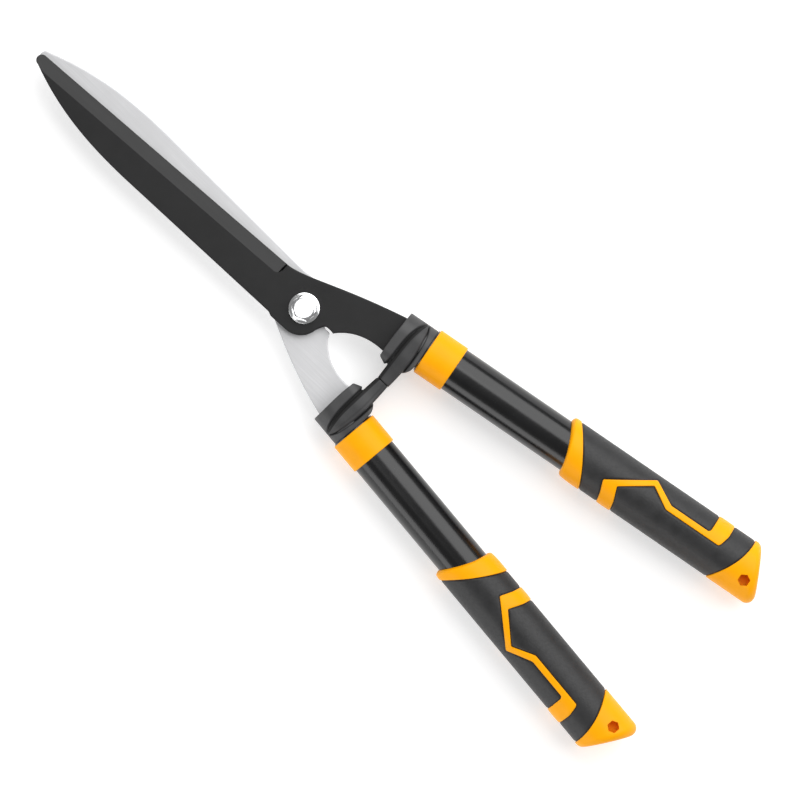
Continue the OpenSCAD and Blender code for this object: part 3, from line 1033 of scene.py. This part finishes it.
@dataclass
class Socket:
    """The moulded socket: round outside, an ear inside, and a groove round the bumper's leaf."""

    half: Half
    radius: float = 13.4
    ear: float = 21.3
    corner: float = 8.0
    soft: float = 0.55
    ear_middle: Pair = (-3.0, 0.0)
    front: Tuple[Pair, ...] = (
        (-21.4, 58.9), (-20.4, 57.0), (-19.4, 55.2), (-18.8, 54.1), (-18.2, 53.5), (-16.8, 53.4), (14.5, 54.8)
    )
    rear: Tuple[Pair, ...] = (
        (-20.6, 69.1), (-19.0, 71.2), (-16.5, 73.2), (-12.5, 74.4), (-9.0, 74.6), (14.5, 74.6)
    )
    leaf_front: Tuple[Pair, ...] = (
        (-33, 59.5), (-24, 59.8), (-15, 60.3), (-7, 60.8), (0, 61.6), (5, 62.8), (10, 64.7), (12.8, 66.6)
    )
    leaf_rear: Tuple[Pair, ...] = (
        (-33, 68.2), (-25, 69.6), (-18, 70.6), (-10, 71.1), (0, 70.8), (8, 69.6), (12.8, 68.1)
    )
    arm_height: Tuple[Pair, ...] = (
        (-33, 11), (-26, 11.05), (-21.5, 11.7), (-17, 13.2), (-12.5, 14.1), (-6, 14.25), (0, 14.25)
    )
    groove_depth: float = 1.5
    spigot_r: float = 12.7
    spigot_s: Pair = (70.0, 130.6)
    proud: float = 0.85
    arm_len: float = 31.5
    leaf_len: float = 12.6
    point_len: float = 3.1
    edge_r: float = 1.5
    crown: float = 0.35
    end_r: float = 0.7
    leaf_gap: float = 0.25
    arm_turn: float = 11.5
    contact_gap: float = 0.05
    contact_slant: float = 0.04
    ledge: float = 0.25

    def section(self) -> Tuple[np.ndarray, np.ndarray]:
        """The outline across the socket as (w, z) points with their outward unit vectors.

        Half a circle on the outer side, flats above and below, and quarter circles at the ear's
        corners, each sampled evenly.

        Returns:
            The points and the unit vectors.
        """
        flat, wall = self.ear - self.corner, self.radius - self.corner
        big, quarter = np.linspace(90, -90, 200), np.linspace(0, 90, 46)[1:]
        spots, normals = [arc((0, 0), self.radius, big)], [arc((0, 0), 1, big)]
        for sign in (-1, 1):
            t, turn = shares(61), sign * (90 + quarter)
            edge, sparse = sign * self.radius, t[::3]
            runs = [
                (line((0, edge), (-flat, edge), t), np.tile([0, sign], (len(t), 1))),
                (arc((-flat, sign * wall), self.corner, turn), arc((0, 0), 1, turn)),
                (line((-self.ear, sign * wall), (-self.ear, 0), sparse), np.tile([-1, 0], (len(sparse), 1))),
            ]
            for spot, normal in runs if sign < 0 else [(s[::-1], n[::-1]) for s, n in runs[::-1]]:
                spots.append(spot)
                normals.append(normal)
        outline, out = np.concatenate(spots), np.concatenate(normals).astype(float)
        keep = np.linalg.norm(outline - np.roll(outline, 1, 0), axis=1) > 0.02
        return outline[keep], out[keep]

    def leaf_groove(self, w: np.ndarray, s: np.ndarray) -> np.ndarray:
        """Depth of the groove round the leaf: exp(-(d / width)^2), wider along the front edge.

        Args:
            w: Distances outward of the handle's axis.
            s: Distances along it.

        Returns:
            The depth at each place, from 0 to 1.
        """
        depth = np.zeros(w.shape)
        for keys, step, width in ((self.leaf_front, -0.4, 0.8), (self.leaf_rear, 0.2, 0.5)):
            slope = (spline(keys, w + 0.1) - spline(keys, w - 0.1)) / 0.2
            d = (s - spline(keys, w) - step) / np.sqrt(1 + slope**2)
            depth = np.maximum(depth, np.exp(-((d / width) ** 2)))
        return depth * np.clip((13.2 - w) / 0.6, 0, 1)

    def build_body(self) -> None:
        """Makes the socket: the section carried from front to rear, its rims quarter rounds.

        The surface dips by up to groove_depth in the groove round the leaf, and the groove gets
        painted shade. Each end is closed by rings that shrink towards the ear's middle and lie on
        the end's own curve.
        """
        outline, out = self.section()
        a = np.radians(np.linspace(0, 90, 7))
        v = np.linspace(0, 1, 112)[1:-1]
        rim_in, rim_s = self.soft * (1 - np.sin(a)), self.soft * (1 - np.cos(a))
        inset = np.concatenate([rim_in, 0 * v, rim_in[::-1]])
        depth = np.concatenate([rim_s, np.full(len(v), self.soft), rim_s[::-1]])
        share = np.concatenate([0 * a, v, 0 * a + 1])
        spots = outline[None] - out[None] * inset[:, None, None]
        start, end = spline(self.front, spots[..., 0]), spline(self.rear, spots[..., 0])
        near, far = start + depth[:, None], end - depth[:, None]
        s = near * (1 - share[:, None]) + far * share[:, None]
        dip = self.leaf_groove(spots[..., 0], s)
        spots = spots - out[None] * (self.groove_depth * dip)[..., None]
        side = np.concatenate([spots, s[..., None]], -1)
        centre = np.array(self.ear_middle)
        shrink = np.array([0.0, 0.25, 0.5, 0.75, 0.93])[:, None, None]
        caps = []
        for ring, rim in ((side[0], self.front), (side[-1], self.rear)):
            plan = centre + (ring[None, :, :2] - centre) * shrink
            caps.append(np.concatenate([plan, spline(rim, plan[..., 0])[..., None]], -1))
        rings = np.concatenate([caps[0], side, caps[1][::-1]])
        # Painted shade: the groove round the leaf darkens as deep as it dips.
        shade = np.concatenate([np.zeros(caps[0].shape[:2]), dip, np.zeros(caps[1].shape[:2])])
        name = self.half.name("socket")
        piece = Piece(name, self.half.body, SOCKET_PLASTIC, (name,), crease=50)
        piece.shell.grid(self.half.handle(rings), close_columns=True, shade=shade)
        (first, last), r = self.spigot_s, self.spigot_r
        spigot = soft_profile([(0.01, first, 0), (r, first, 0), (r, last, 0.8), (0.01, last, 0)])
        piece.shell.loft(self.half.handle(lathe(spigot, 96)).transpose(1, 0, 2))
        piece.make()

    def contact(self, s: np.ndarray, z: np.ndarray) -> np.ndarray:
        """Where the arm's contact face lies: a plane near the middle of the shears, leaning a little.

        Args:
            s: Distances along the handle.
            z: Heights above its axis.

        Returns:
            Distance outward of the handle's axis at each place.
        """
        a = math.radians(self.half.angle)
        plane = self.half.stop + self.contact_gap + self.contact_slant * z
        return (plane - s * math.sin(a)) / math.cos(a) - self.half.offset

    def build_bumper(self) -> None:
        """Makes the bumper: rounded sections carried from the contact face to the leaf's point.

        A section is a rounded box with a crown: half-width from the leaf's two edges, half-height
        from the arm's, and past w = 0 from a circle a little outside the socket. A sunk ledge runs
        along the front edge, and it, the front corners and the front wall get painted shade. Over the
        arm's last arm_turn the sections turn onto the contact face.
        """
        reach = self.radius + self.proud
        arm, leaf = self.arm_len * np.linspace(-1, 0, 80), self.leaf_len * shares(49) ** 0.8
        w = np.concatenate([arm, leaf])
        front, rear = spline(self.leaf_front, w), spline(self.leaf_rear, w)
        middle, half_w = (front + rear) / 2, (rear - front) / 2 - self.leaf_gap
        point = np.clip((w - (self.leaf_len - self.point_len)) / self.point_len, 0, 1)
        half_w = half_w * np.sqrt(np.clip(1 - point**2, 0.004, 1))
        height = np.where(w < 0, spline(self.arm_height, w), np.sqrt(reach**2 - np.maximum(w, 0) ** 2))
        edge = np.minimum(self.edge_r, 0.75 * half_w)
        small = self.end_r * (1 - quarter_rise((w - w[0]) / self.end_r))
        half_w, height = half_w - small, height - small

        # A quarter of the way round: the rear corner, the crowned top and the front corner.
        a = np.radians(np.linspace(0, 90, 9))
        across = np.concatenate([np.linspace(1, -0.5, 11)[1:], [-0.62, -0.72, -0.9]])
        flat = (half_w - edge)[:, None]
        corner_s = flat + edge[:, None] * np.cos(a)
        corner_z = (height - edge)[:, None] + edge[:, None] * np.sin(a)
        top_s = flat * across
        top_z = height[:, None] + self.crown * (half_w / 5.4)[:, None] * (1 - across**2)
        sunk = self.ledge * np.minimum(1, half_w / 2)[:, None]
        top_z[:, -3:] -= sunk * [0.25, 1, 1]
        quarter = np.concatenate([corner_s, top_s, -corner_s[:, ::-1]], 1)
        quarter_z = np.concatenate([corner_z, top_z, corner_z[:, ::-1] - sunk], 1)

        # The whole section: top, front wall, bottom, rear wall.
        side = np.tile(half_w[:, None], (1, 13))
        wall = np.outer(height - edge, np.linspace(0.9, -0.9, 13))
        s = np.concatenate([quarter, -side, -quarter, side], 1) + middle[:, None]
        z = np.concatenate([quarter_z, wall, -quarter_z, -wall], 1)
        fade = np.clip((self.arm_turn - self.arm_len - w) / self.arm_turn, 0, 1)[:, None]
        place = w[:, None] + (self.contact(s, z) - w[0]) * fade
        # Painted shade on the front: the ledge, both front corners and the front wall.
        shade = np.zeros(z.shape)
        ledge_start = len(a) + len(across) - 1
        shade[:, ledge_start:ledge_start + 33] = 1
        name = self.half.name("bumper")
        piece = Piece(name, self.half.body, BUMPER_RUBBER, (name,), crease=50)
        piece.shell.loft(self.half.handle(np.stack([place, z, s], -1)), shade)
        piece.make()


@dataclass
class Tube:
    """The painted tube and the collar round its front end."""

    half: Half
    radius: float = 14.0
    wall: float = 1.2
    start: float = 74.6
    cap_len: float = 21.3
    collar_from: float = 75.4
    collar_len: float = 19.5
    collar_wall: float = 1.05

    def build_sleeve(
        self, piece: str, finish: Finish, radii: Pair, ends: Pair, cuts: Pair, steps: int
    ) -> None:
        """Makes a round sleeve about the handle's axis.

        Args:
            piece: Its name in this half.
            finish: Its finish.
            radii: Inner and outer radius.
            ends: Where it starts and ends along the handle.
            cuts: How much the inner and the outer corners are rounded.
            steps: Pieces in each rounded corner.
        """
        (inner, outer), (first, last), (fine, soft) = radii, ends, cuts
        profile = soft_profile([
            (inner, first, fine), (outer, first, soft), (outer, last, soft), (inner, last, fine),
        ], steps)
        name = self.half.name(piece)
        sleeve = Piece(name, self.half.body, finish, (name,))
        sleeve.shell.grid(self.half.handle(lathe(profile, 192)), True, True)
        sleeve.make()

    def build(self) -> None:
        """Makes the tube and its collar, with rounded rims."""
        r = self.radius
        ends = (self.start, self.half.length - self.cap_len)
        self.build_sleeve("tube", TUBE_PAINT, (r - self.wall, r), ends, (0.3, 0.3), 4)
        ends = (self.collar_from, self.collar_from + self.collar_len)
        self.build_sleeve("collar", YELLOW, (r + 0.05, r + self.collar_wall), ends, (0.1, 0.75), 6)


@dataclass
class Grip:
    """The two-colour grip: yellow lip, chevron band and end cap in one moulding, with soft pads."""

    half: Half
    length: float = 150.3
    radius: float = 17.5
    pad_r: float = 17.1
    tube_r: float = 14.05
    side: float = 18.5
    band_w: float = 3.8
    band_end_w: float = 9.6
    slant: float = -0.505
    fillet: float = 5.0
    cap_middle: float = 5.1
    recess: Pair = (-6.3, 11.5)
    recess_across: float = 6.6
    recess_depth: float = 9.0
    recess_drop: float = 1.2
    seam_depth: float = 0.55
    seam_w: float = 0.75
    inner_r: float = 15.9
    segments: int = 216
    pad_grid: Tuple[int, int] = (250, 232)

    @property
    def end(self) -> float:
        """Station of the grip's far end."""
        return self.half.length

    @property
    def start(self) -> float:
        """Station of the grip's front end on its outer side."""
        return self.half.length - self.length

    def lip_front(self, w: np.ndarray) -> np.ndarray:
        """Front edge of the lip: a power of 1.5 of the share across, furthest forward outside."""
        return self.start + 11.3 * (1 - (np.maximum(0, w + self.side) / (2 * self.side)) ** 1.5)

    def lip_rear(self, w: np.ndarray) -> np.ndarray:
        """Rear edge of the lip: a shallow parabola."""
        return self.start + 17.7 - 0.6 * w - 0.005 * w * w

    def cap_edge(self, w: np.ndarray) -> np.ndarray:
        """Front edge of the end cap: a shallow parabola."""
        return self.end - 21.3 + 0.36 * w - 0.0106 * w * w

    def band(self) -> Tuple[np.ndarray, np.ndarray]:
        """The band's two edges seen from above, paired from the inner side to the outer side.

        Corners are softened, and both ends reach the grip's full width, where the underside's
        copy of the band meets them.

        Returns:
            Front edge and rear edge, as many points each.
        """
        f, e, b, tab = self.start, self.end, self.band_w, self.band_end_w
        front = [
            (-17.5, f + 39.7), (-12, f + 38.3), (-4.3, f + 35.3), (14.2, f + 62.8), (2.2 + b, f + 78),
            (2.2 + b, e - 45.6), (3.6 + b, e - 44.4), (12.5, e - 44.3), (17.5, e - 44.2),
        ]
        rear = [
            (-17.5, f + 39.7 + tab), (-12, f + 38.3 + tab), (-3, f + 44.4), (14.2 - b, f + 63),
            (2.2, f + 76.4), (2.2, e - 45.6 + tab), (3.6, e - 44.6 + tab), (10, e - 43 + tab),
            (17.5, e - 43 + tab),
        ]
        counts = (10, 14, 60, 34, 66, 6, 14, 14)
        rows = []
        for chain in (front, rear):
            parts = [line(chain[i], chain[i + 1], shares(n)) for i, n in enumerate(counts)]
            rows.append(softened(np.concatenate([[chain[0]], *parts]), 2))
            rows[-1][0, 0], rows[-1][-1, 0] = -self.radius, self.radius
        return rows[0], rows[1]

    def around(self, w: np.ndarray, r: np.ndarray) -> Tuple[np.ndarray, np.ndarray]:
        """(w, z) at radius r of the place that lies straight above w on the grip's own radius."""
        share = np.clip(w / self.radius, -1, 1)
        return share * r, np.sqrt(1 - share**2) * r

    def build_core(self) -> None:
        """Makes the yellow moulding: lip, band and end cap, with the hexagonal recesses cut out."""
        name = self.half.name("grip_core")
        piece = Piece(name, self.half.body, YELLOW, (name,), crease=40)
        self.add_lip(piece.shell)
        self.add_band(piece.shell)
        self.add_cap(piece.shell)
        cutter = Shell()
        a = np.radians(np.arange(6) * 60.0)
        corner_r = self.recess_across / math.sqrt(3)
        w, s = self.recess[0] + corner_r * np.cos(a), self.end - self.recess[1] + corner_r * np.sin(a)
        bottom, past = self.radius - self.recess_drop - self.recess_depth, self.radius + 3
        for sign in (1, -1):
            rings = np.stack([np.stack([w, np.full(6, sign * z), s], -1) for z in (bottom, past)])
            cutter.loft(self.half.handle(rings))
        piece.make(cutter)

    def add_lip(self, shell: Shell) -> None:
        """Adds the lip: at each angle a closed profile from the tube up to the grip's radius.

        Its height over the front edge is 2.1 q(d / 2) + 1.3 q(d / L), where q is a quarter circle's
        rise, d the distance back from the edge and L 3 mm outside and 11 mm inside.

        Args:
            shell: Where it is added.
        """
        a = full_turn(self.segments)
        w = self.radius * np.sin(a)
        front, rear = self.lip_front(w)[:, None], self.lip_rear(w)[:, None]
        long = (3 + 8 * (1 - np.sin(a)) / 2)[:, None]
        nose = 2 * (1 - np.cos(np.linspace(0, np.pi / 2, 12)))[:-1]
        slope = 2 + (rear - front - 3.2) * np.linspace(0, 1, 16)
        d = np.concatenate([np.tile(nose, (len(a), 1)), slope], 1)
        rise = self.tube_r + 0.05 + 2.1 * quarter_rise(d / 2) + 1.3 * quarter_rise(d / long)
        back = np.array([0.8, 0.42, 0.2, 0.05, 0.0, 0.0, 0.0])
        back_r = self.radius - np.array([0, 0, 0.08, 0.22, 0.42, 1.2, 2.6])
        inner = [self.tube_r, self.tube_r]
        s = np.concatenate([front + d, rear - back, rear, front + 0.3], 1)
        ends_r = np.tile(np.concatenate([back_r, inner]), (len(a), 1))
        r = np.concatenate([np.minimum(rise, self.radius), ends_r], 1)
        shell.grid(self.half.handle(turned(r, a[:, None], s)), True, True)

    def add_band(self, shell: Shell) -> None:
        """Adds the band: a low closed strip between its paired edges, crossing to the underside.

        Its section rises from 1.6 mm inside the grip's radius to a crown just under that radius.

        Args:
            shell: Where it is added.
        """
        front, rear = self.band()
        share = np.array([0, 0, 0.04, 0.11, 0.22, 0.4, 0.6, 0.78, 0.89, 0.96, 1, 1, 0.5])
        sunk = np.array([1.6, 0.45, 0.17, 0.08, 0.03, 0.01, 0.01, 0.03, 0.08, 0.17, 0.45, 1.6, 1.7])
        plan = front[:, None] * (1 - share[None, :, None]) + rear[:, None] * share[None, :, None]
        w, z = self.around(plan[..., 0], (self.radius - sunk)[None])
        top = np.stack([w, z, plan[..., 1]], -1)
        under = top[::-1][1:-1] * [1, -1, 1]
        shell.grid(self.half.handle(np.concatenate([top, under])), True, True)

    def add_cap(self, shell: Shell) -> None:
        """Adds the end cap: a cylinder cut on a slant, its rim a tangent arc in each radial plane.

        At angle a the slanted face has slope m = slant sin a. The arc of radius f has its centre f
        inside the grip's radius and f sqrt(1 + m^2) below the face, and ends at atan2(1, -m).

        Args:
            shell: Where it is added.
        """
        a = full_turn(self.segments)
        m, f = self.slant * np.sin(a), self.fillet
        edge = self.cap_edge(self.radius * np.sin(a))
        middle = self.end - self.cap_middle
        centre_r = self.radius - f
        centre_s = middle + m * centre_r - f * np.sqrt(1 + m * m)
        rim = np.array([3.2, 1.4, 0.42, 0.2, 0.06, 0.0, 0.0])
        rim_s = np.array([0, 0, 0.03, 0.12, 0.3, 0.6, 1.0])
        side_s = edge[:, None] + 1 + np.outer(centre_s - edge - 1, shares(21))
        turn = np.outer(np.arctan2(1, -m), shares(14))
        arc_r, arc_s = centre_r + f * np.cos(turn), centre_s[:, None] + f * np.sin(turn)
        inner = np.linspace(1, 0, 12)[1:]
        face_r = arc_r[:, -1:] * inner
        face_s = middle + m[:, None] * face_r
        rim_r = np.tile(np.concatenate([[0], self.radius - rim]), (len(a), 1))
        front_s = np.full((len(a), 1), middle - 18.0)
        r = np.concatenate([rim_r, np.full(side_s.shape, self.radius), arc_r, face_r], 1)
        s = np.concatenate([front_s, edge[:, None] + rim_s, side_s, arc_s, face_s], 1)
        shell.grid(self.half.handle(turned(r, a[:, None], s)), close_rows=True)

    def build_pads(self) -> None:
        """Makes the soft pads as one skin that dips where it meets the lip, the band and the cap.

        The outer radius is the pads' own less seam_depth exp(-(d / seam_w)^2), d being the distance
        seen from above to the nearest edge, and it stays that deep under the band. The same dip sets
        the painted shade in the seams.
        """
        rows, columns = self.pad_grid
        a = full_turn(columns)
        w = self.radius * np.sin(a)
        v = np.linspace(0, 1, rows)[:, None]
        lip, cap = self.lip_rear(w), self.cap_edge(w)
        s = (lip - 1.2) * (1 - v) + (cap + 1.2) * v
        front, rear = self.band()
        wide = np.broadcast_to(w, s.shape)
        gap = np.minimum(np.abs(s - lip), np.abs(s - cap))
        for rim in (front, rear):
            for part in np.array_split(rim, 12):
                d = np.hypot(wide[..., None] - part[:, 0], s[..., None] - part[:, 1]).min(-1)
                gap = np.minimum(gap, d)
        dip = np.exp(-((gap / self.seam_w) ** 2))
        covered = self.inside_band(wide, s, np.concatenate([front, rear[::-1]])) | (s < lip) | (s > cap)
        dip = np.where(covered, 1.0, dip)
        outer = turned(self.pad_r - self.seam_depth * dip, a, s)
        inner = turned(np.full((2, columns), self.inner_r), a, np.stack([s[-1], s[0]]))
        stands_for = (self.half.name("front_pad"), self.half.name("rear_pad"))
        piece = Piece(self.half.name("pads"), self.half.body, GRIP_RUBBER, stands_for, crease=60)
        # Painted shade: the seams darken as deep as they dip.
        shade = np.concatenate([dip, np.zeros((2, columns))])
        piece.shell.grid(self.half.handle(np.concatenate([outer, inner])), True, True, shade=shade)
        piece.make()

    def inside_band(self, w: np.ndarray, s: np.ndarray, loop: np.ndarray) -> np.ndarray:
        """Whether places lie within the band seen from above, by counting the edges below them.

        Args:
            w: Distances outward of the handle's axis.
            s: Distances along it.
            loop: The band's outline.

        Returns:
            True where the count is odd.
        """
        crossed = np.zeros(w.shape, int)
        for (x0, y0), (x1, y1) in zip(loop, np.roll(loop, -1, 0)):
            if x0 == x1:
                continue
            between = (np.minimum(x0, x1) <= w) & (w < np.maximum(x0, x1))
            crossed += between & (s > y0 + (y1 - y0) * (w - x0) / (x1 - x0))
        return crossed % 2 == 1


@dataclass
class Pivot:
    """The pivot: shoulder bolt, washers, disc spring and lock nut."""

    body: str = "upper_half"
    blade_top: float = 21.75
    flange_r: float = 9.4
    flange_t: float = 2.0
    flange_rim_t: float = 1.65
    flange_flat_r: float = 7.6
    head_across: float = 14.0
    head_h: float = 5.3
    head_turn: float = -7.0
    head_cone: float = 0.46
    shoulder_r: float = 5.0
    shoulder_end: float = 13.2
    thread_r: float = 4.0
    thread_depth: float = 0.62
    pitch: float = 1.25
    hole_r: float = 4.05
    nut_across: float = 13.0
    nut_under: float = 2.3
    nut_cone: float = 0.4
    crown_h: float = 2.5
    nut_h: float = 5.5
    insert_r: float = 5.2
    insert_z: Pair = (2.7, 4.8)
    spring_z: Pair = (10.3, 11.2)
    spring_cone: float = 0.5
    washer_z: Pair = (11.7, 13.2)
    bearing_z: Pair = (17.3, 17.75)
    segments: int = 192

    def hexagon(self, a: np.ndarray, across: float, turn: float) -> np.ndarray:
        """Radius of a hexagon at angle a: half its width over the cosine from its nearest flat."""
        off = (a - math.radians(turn)) % (np.pi / 3) - np.pi / 6
        return np.minimum(across / 2 / np.cos(off), across / 2 * 1.135)

    def upright(self, r: np.ndarray, z: Any) -> np.ndarray:
        """Points about the bolt's axis, in metres: (r cos a, r sin a, z).

        Args:
            r: Radius, a row for each of the evenly spaced angles a.
            z: Height.

        Returns:
            Rows by columns by 3.
        """
        a = full_turn(len(r))[:, None]
        return np.stack([r * np.cos(a), r * np.sin(a), np.broadcast_to(z, r.shape)], -1) * MM

    def wheel(self, radii: Sequence[Any], heights: Sequence[Any]) -> np.ndarray:
        """Points of a shape that goes round the bolt's axis, given column by column.

        Args:
            radii: For each column a number, or a column or block of them.
            heights: The same for the heights.

        Returns:
            Segments by columns by 3, in metres.
        """
        one = np.ones((self.segments, 1))
        r = np.concatenate([part * one for part in radii], 1)
        z = np.concatenate([part * one for part in heights], 1)
        return self.upright(r, z)

    def ring(
        self, name: str, finish: Finish, radii: Pair, heights: Pair, cuts: Pair, cone: float = 0.0
    ) -> None:
        """Makes a turned ring, flat or coned.

        Args:
            name: The piece and the node that it stands for.
            finish: Its finish.
            radii: Inner and outer radius.
            heights: Bottom and top of its inner rim.
            cuts: How much the inner and the outer corners are rounded.
            cone: How far its outer rim stands above the inner one.
        """
        (inner, outer), (low, high), (fine, soft) = radii, heights, cuts
        profile = soft_profile([
            (inner, low, fine), (outer, low + cone, soft), (outer, high + cone, soft), (inner, high, fine),
        ], 3)
        piece = Piece(name, self.body, finish, (name,))
        r = np.broadcast_to(profile[:, 0], (128, len(profile)))
        piece.shell.grid(self.upright(r, profile[:, 1]), True, True)
        piece.make()

    def build_bolt(self) -> None:
        """Makes the bolt: hexagon head with a coned top, flange, shoulder and a screw thread.

        The thread's radius is thread_r less a triangle wave of height / pitch minus turns. The
        cone lowers the head's top by head_cone for each mm that the hexagon is wider than its flat.
        """
        a = full_turn(self.segments)[:, None]
        hexa = self.hexagon(a, self.head_across, self.head_turn)
        under = self.blade_top + self.flange_t
        top = under + self.head_h
        flat = self.head_across / 2 - 0.65
        shoulder = top - self.head_cone * (hexa - flat)
        low = under - 0.15
        head_r = [
            hexa + 0.35, hexa + 0.1, hexa, hexa, hexa - 0.06, hexa - 0.3,
            flat + 0.15, flat - 0.2, flat - 0.9, 0,
        ]
        head_z = [
            low, low + 0.2, low + 0.5, shoulder - 0.35, shoulder - 0.08, shoulder + 0.1,
            top - 0.06, top, top, top,
        ]
        flange = soft_profile([
            (self.shoulder_r, self.blade_top, 0), (self.flange_r, self.blade_top, 0.25),
            (self.flange_r, self.blade_top + self.flange_rim_t, 0.35), (self.flange_flat_r, under, 0.4),
            (6.0, under, 0),
        ], 5)
        z = np.linspace(0.7, self.shoulder_end, 150)
        wave = np.abs(((z / self.pitch - a / (2 * np.pi)) % 1) * 2 - 1)
        fade = np.clip((self.shoulder_end - 0.6 - z) / 0.6, 0, 1)
        thread = self.thread_r - self.thread_depth * (1 - wave) * fade
        stem_r = [0, 2.9, 3.2, thread, self.shoulder_r, self.shoulder_r]
        stem_z = [0, 0, 0.1, z, self.shoulder_end, self.blade_top - 0.3]
        points = self.wheel([*stem_r, flange[:, 0], *head_r], [*stem_z, flange[:, 1], *head_z])
        piece = Piece("pivot_bolt", self.body, PLATING, ("pivot_bolt",), crease=28)
        piece.shell.grid(points, close_rows=True)
        piece.make()

    def build_nut(self) -> None:
        """Makes the lock nut: a hexagon with coned faces and a round crown over its insert."""
        hexa = self.hexagon(full_turn(self.segments)[:, None], self.nut_across, 0)
        low, base = self.nut_under, self.nut_under + self.crown_h
        top, crown, cone = base + self.nut_h, self.nut_across / 2 - 0.5, self.nut_across / 2 - 0.3
        bevel = self.nut_cone * (hexa - cone)
        hole, seat = self.hole_r, self.insert_r
        r = [
            hole, hole, seat, seat, seat + 0.2, crown - 0.2, crown, crown, cone, hexa,
            hexa, cone, hole + 0.45,
        ]
        z = [
            top, base + 0.1, base - 0.1, low + 0.15, low, low, low + 0.25, base - 0.2, base, base + bevel,
            top - bevel, top, top,
        ]
        piece = Piece("lock_nut", self.body, PLAIN_STEEL, ("lock_nut",), crease=28)
        piece.shell.grid(self.wheel(r, z), True, True)
        piece.make()

    def build(self) -> None:
        """Makes the bolt and nut, then the turned rings between them."""
        self.build_bolt()
        self.build_nut()
        hole = self.hole_r
        self.ring("flat_washer", PLAIN_STEEL, (hole, 11), self.washer_z, (0.1, 0.3))
        self.ring("disc_spring", SPRING_STEEL, (hole, 9.5), self.spring_z, (0.1, 0.25), self.spring_cone)
        self.ring("blade_washer", BRASS, (self.shoulder_r + 0.05, 12), self.bearing_z, (0.05, 0.12))
        self.ring("nut_insert", NYLON, (self.thread_r - 0.05, self.insert_r), self.insert_z, (0.2, 0.2))


@dataclass
class Studio:
    """A pale floor, soft lights and a camera straight above the shears."""

    aim: Pair = (-2.07, -79.5)
    turn: float = -47.7
    view_width: float = 480.0
    above: float = 4000.0
    level: float = 17.5
    sensor: float = 36.0
    floor_half: float = 6.0
    floor_glow: float = 0.55
    paper: Pair = (0.62, 0.66)
    surround: float = 0.24

    def build(self) -> None:
        """Adds the floor, lights, world and camera."""
        self.add_floor()
        self.add_world()
        self.add_softbox("key", (0.93, -0.08, 1.07), (2.4, 1.5), 2.85)
        self.add_softbox("rim", (-1.5, -0.08, 0.5), (2.6, 0.8), 2.4)
        self.add_softbox("bar", (0.0, 0.03, 1.2), (0.14, 1.1), 1.7)
        self.add_camera()

    def add_floor(self) -> None:
        """A wide matt floor at z = 0."""
        mesh = bpy.data.meshes.new("floor")
        r = self.floor_half
        mesh.from_pydata([(-r, -r, 0), (r, -r, 0), (r, r, 0), (-r, r, 0)], [], [(0, 1, 2, 3)])
        floor = bpy.data.objects.new("floor", mesh)
        bpy.context.scene.collection.objects.link(floor)
        paper = bpy.data.materials.new("paper")
        paper.use_nodes = True
        board = Board(paper.node_tree)
        dark, light = ((grey, grey, grey, 1.0) for grey in self.paper)
        board.finish(
            Base_Color=board.mix(board.noise(300, 2), dark, light),
            Roughness=0.95,
            Specular_IOR_Level=0.1,
            Emission_Color=(1.0, 1.0, 1.0, 1.0),
            Emission_Strength=self.floor_glow,
        )
        mesh.materials.append(paper)

    def add_world(self) -> None:
        """An even grey surround."""
        world = bpy.data.worlds.new("surround")
        world.use_nodes = True
        sky = world.node_tree.nodes["Background"]
        sky.inputs["Color"].default_value = (self.surround, self.surround, self.surround, 1)
        bpy.context.scene.world = world

    def add_softbox(self, name: str, place: Sequence[float], size: Pair, glow: float) -> None:
        """A softbox of even brightness that faces the pivot's region.

        Its power is glow * pi * area, the power of a flat lamp of that brightness.

        Args:
            name: The lamp's name.
            place: Its middle, in metres.
            size: Its sides along y and across, in metres.
            glow: Its brightness.
        """
        data = bpy.data.lights.new(name, "AREA")
        data.shape = "RECTANGLE"
        data.size, data.size_y = size[1], size[0]
        data.energy = glow * math.pi * size[0] * size[1]
        lamp = bpy.data.objects.new(name, data)
        bpy.context.scene.collection.objects.link(lamp)
        lamp.location = place
        away = np.array(place) - [0.0, place[1], 0.0]
        lamp.rotation_euler = (0, math.atan2(away[0], away[2]), 0)
        lamp.visible_camera = False

    def add_camera(self) -> None:
        """A long lens straight above, turned so that the shears lie across the frame."""
        data = bpy.data.cameras.new("camera")
        data.sensor_width = self.sensor
        data.lens = self.sensor * self.above / self.view_width
        data.clip_end = 50
        camera = bpy.data.objects.new("camera", data)
        bpy.context.scene.collection.objects.link(camera)
        camera.location = (self.aim[0] * MM, self.aim[1] * MM, (self.level + self.above) * MM)
        camera.rotation_euler = (0, 0, math.radians(self.turn))
        bpy.context.scene.camera = camera
        bpy.context.scene.view_settings.view_transform = "Standard"


def dress_node(node: str, finish: Finish) -> None:
    """Gives a piece that is shown as packed its finish.

    Args:
        node: The CAD node's name.
        finish: Its finish.
    """
    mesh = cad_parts[node].data
    mesh.materials.clear()
    mesh.materials.append(finish.material())
    LOG.info("%s: shown as packed, finish %s", node, finish.slot)


def main() -> None:
    """Builds the shears half by half, then the pivot and the studio."""
    logging.basicConfig(level=logging.INFO, format="%(message)s")
    halves = (
        (Half(Side.UPPER, offset=20.6, lean=-1.5, length=320.4, stop=-1.4), BLACK_BLADE),
        (Half(Side.LOWER, offset=24.5, lean=1.5, length=322.2, stop=1.4), BRIGHT_BLADE),
    )
    for half, steel in halves:
        Blade(half, steel).build()
        socket = Socket(half)
        socket.build_body()
        socket.build_bumper()
        Tube(half).build()
        grip = Grip(half)
        grip.build_core()
        grip.build_pads()
        dress_node(half.name("tang_pin"), PLAIN_STEEL)
    Pivot().build()
    Studio().build()


if __name__ == "__main__":
    main()
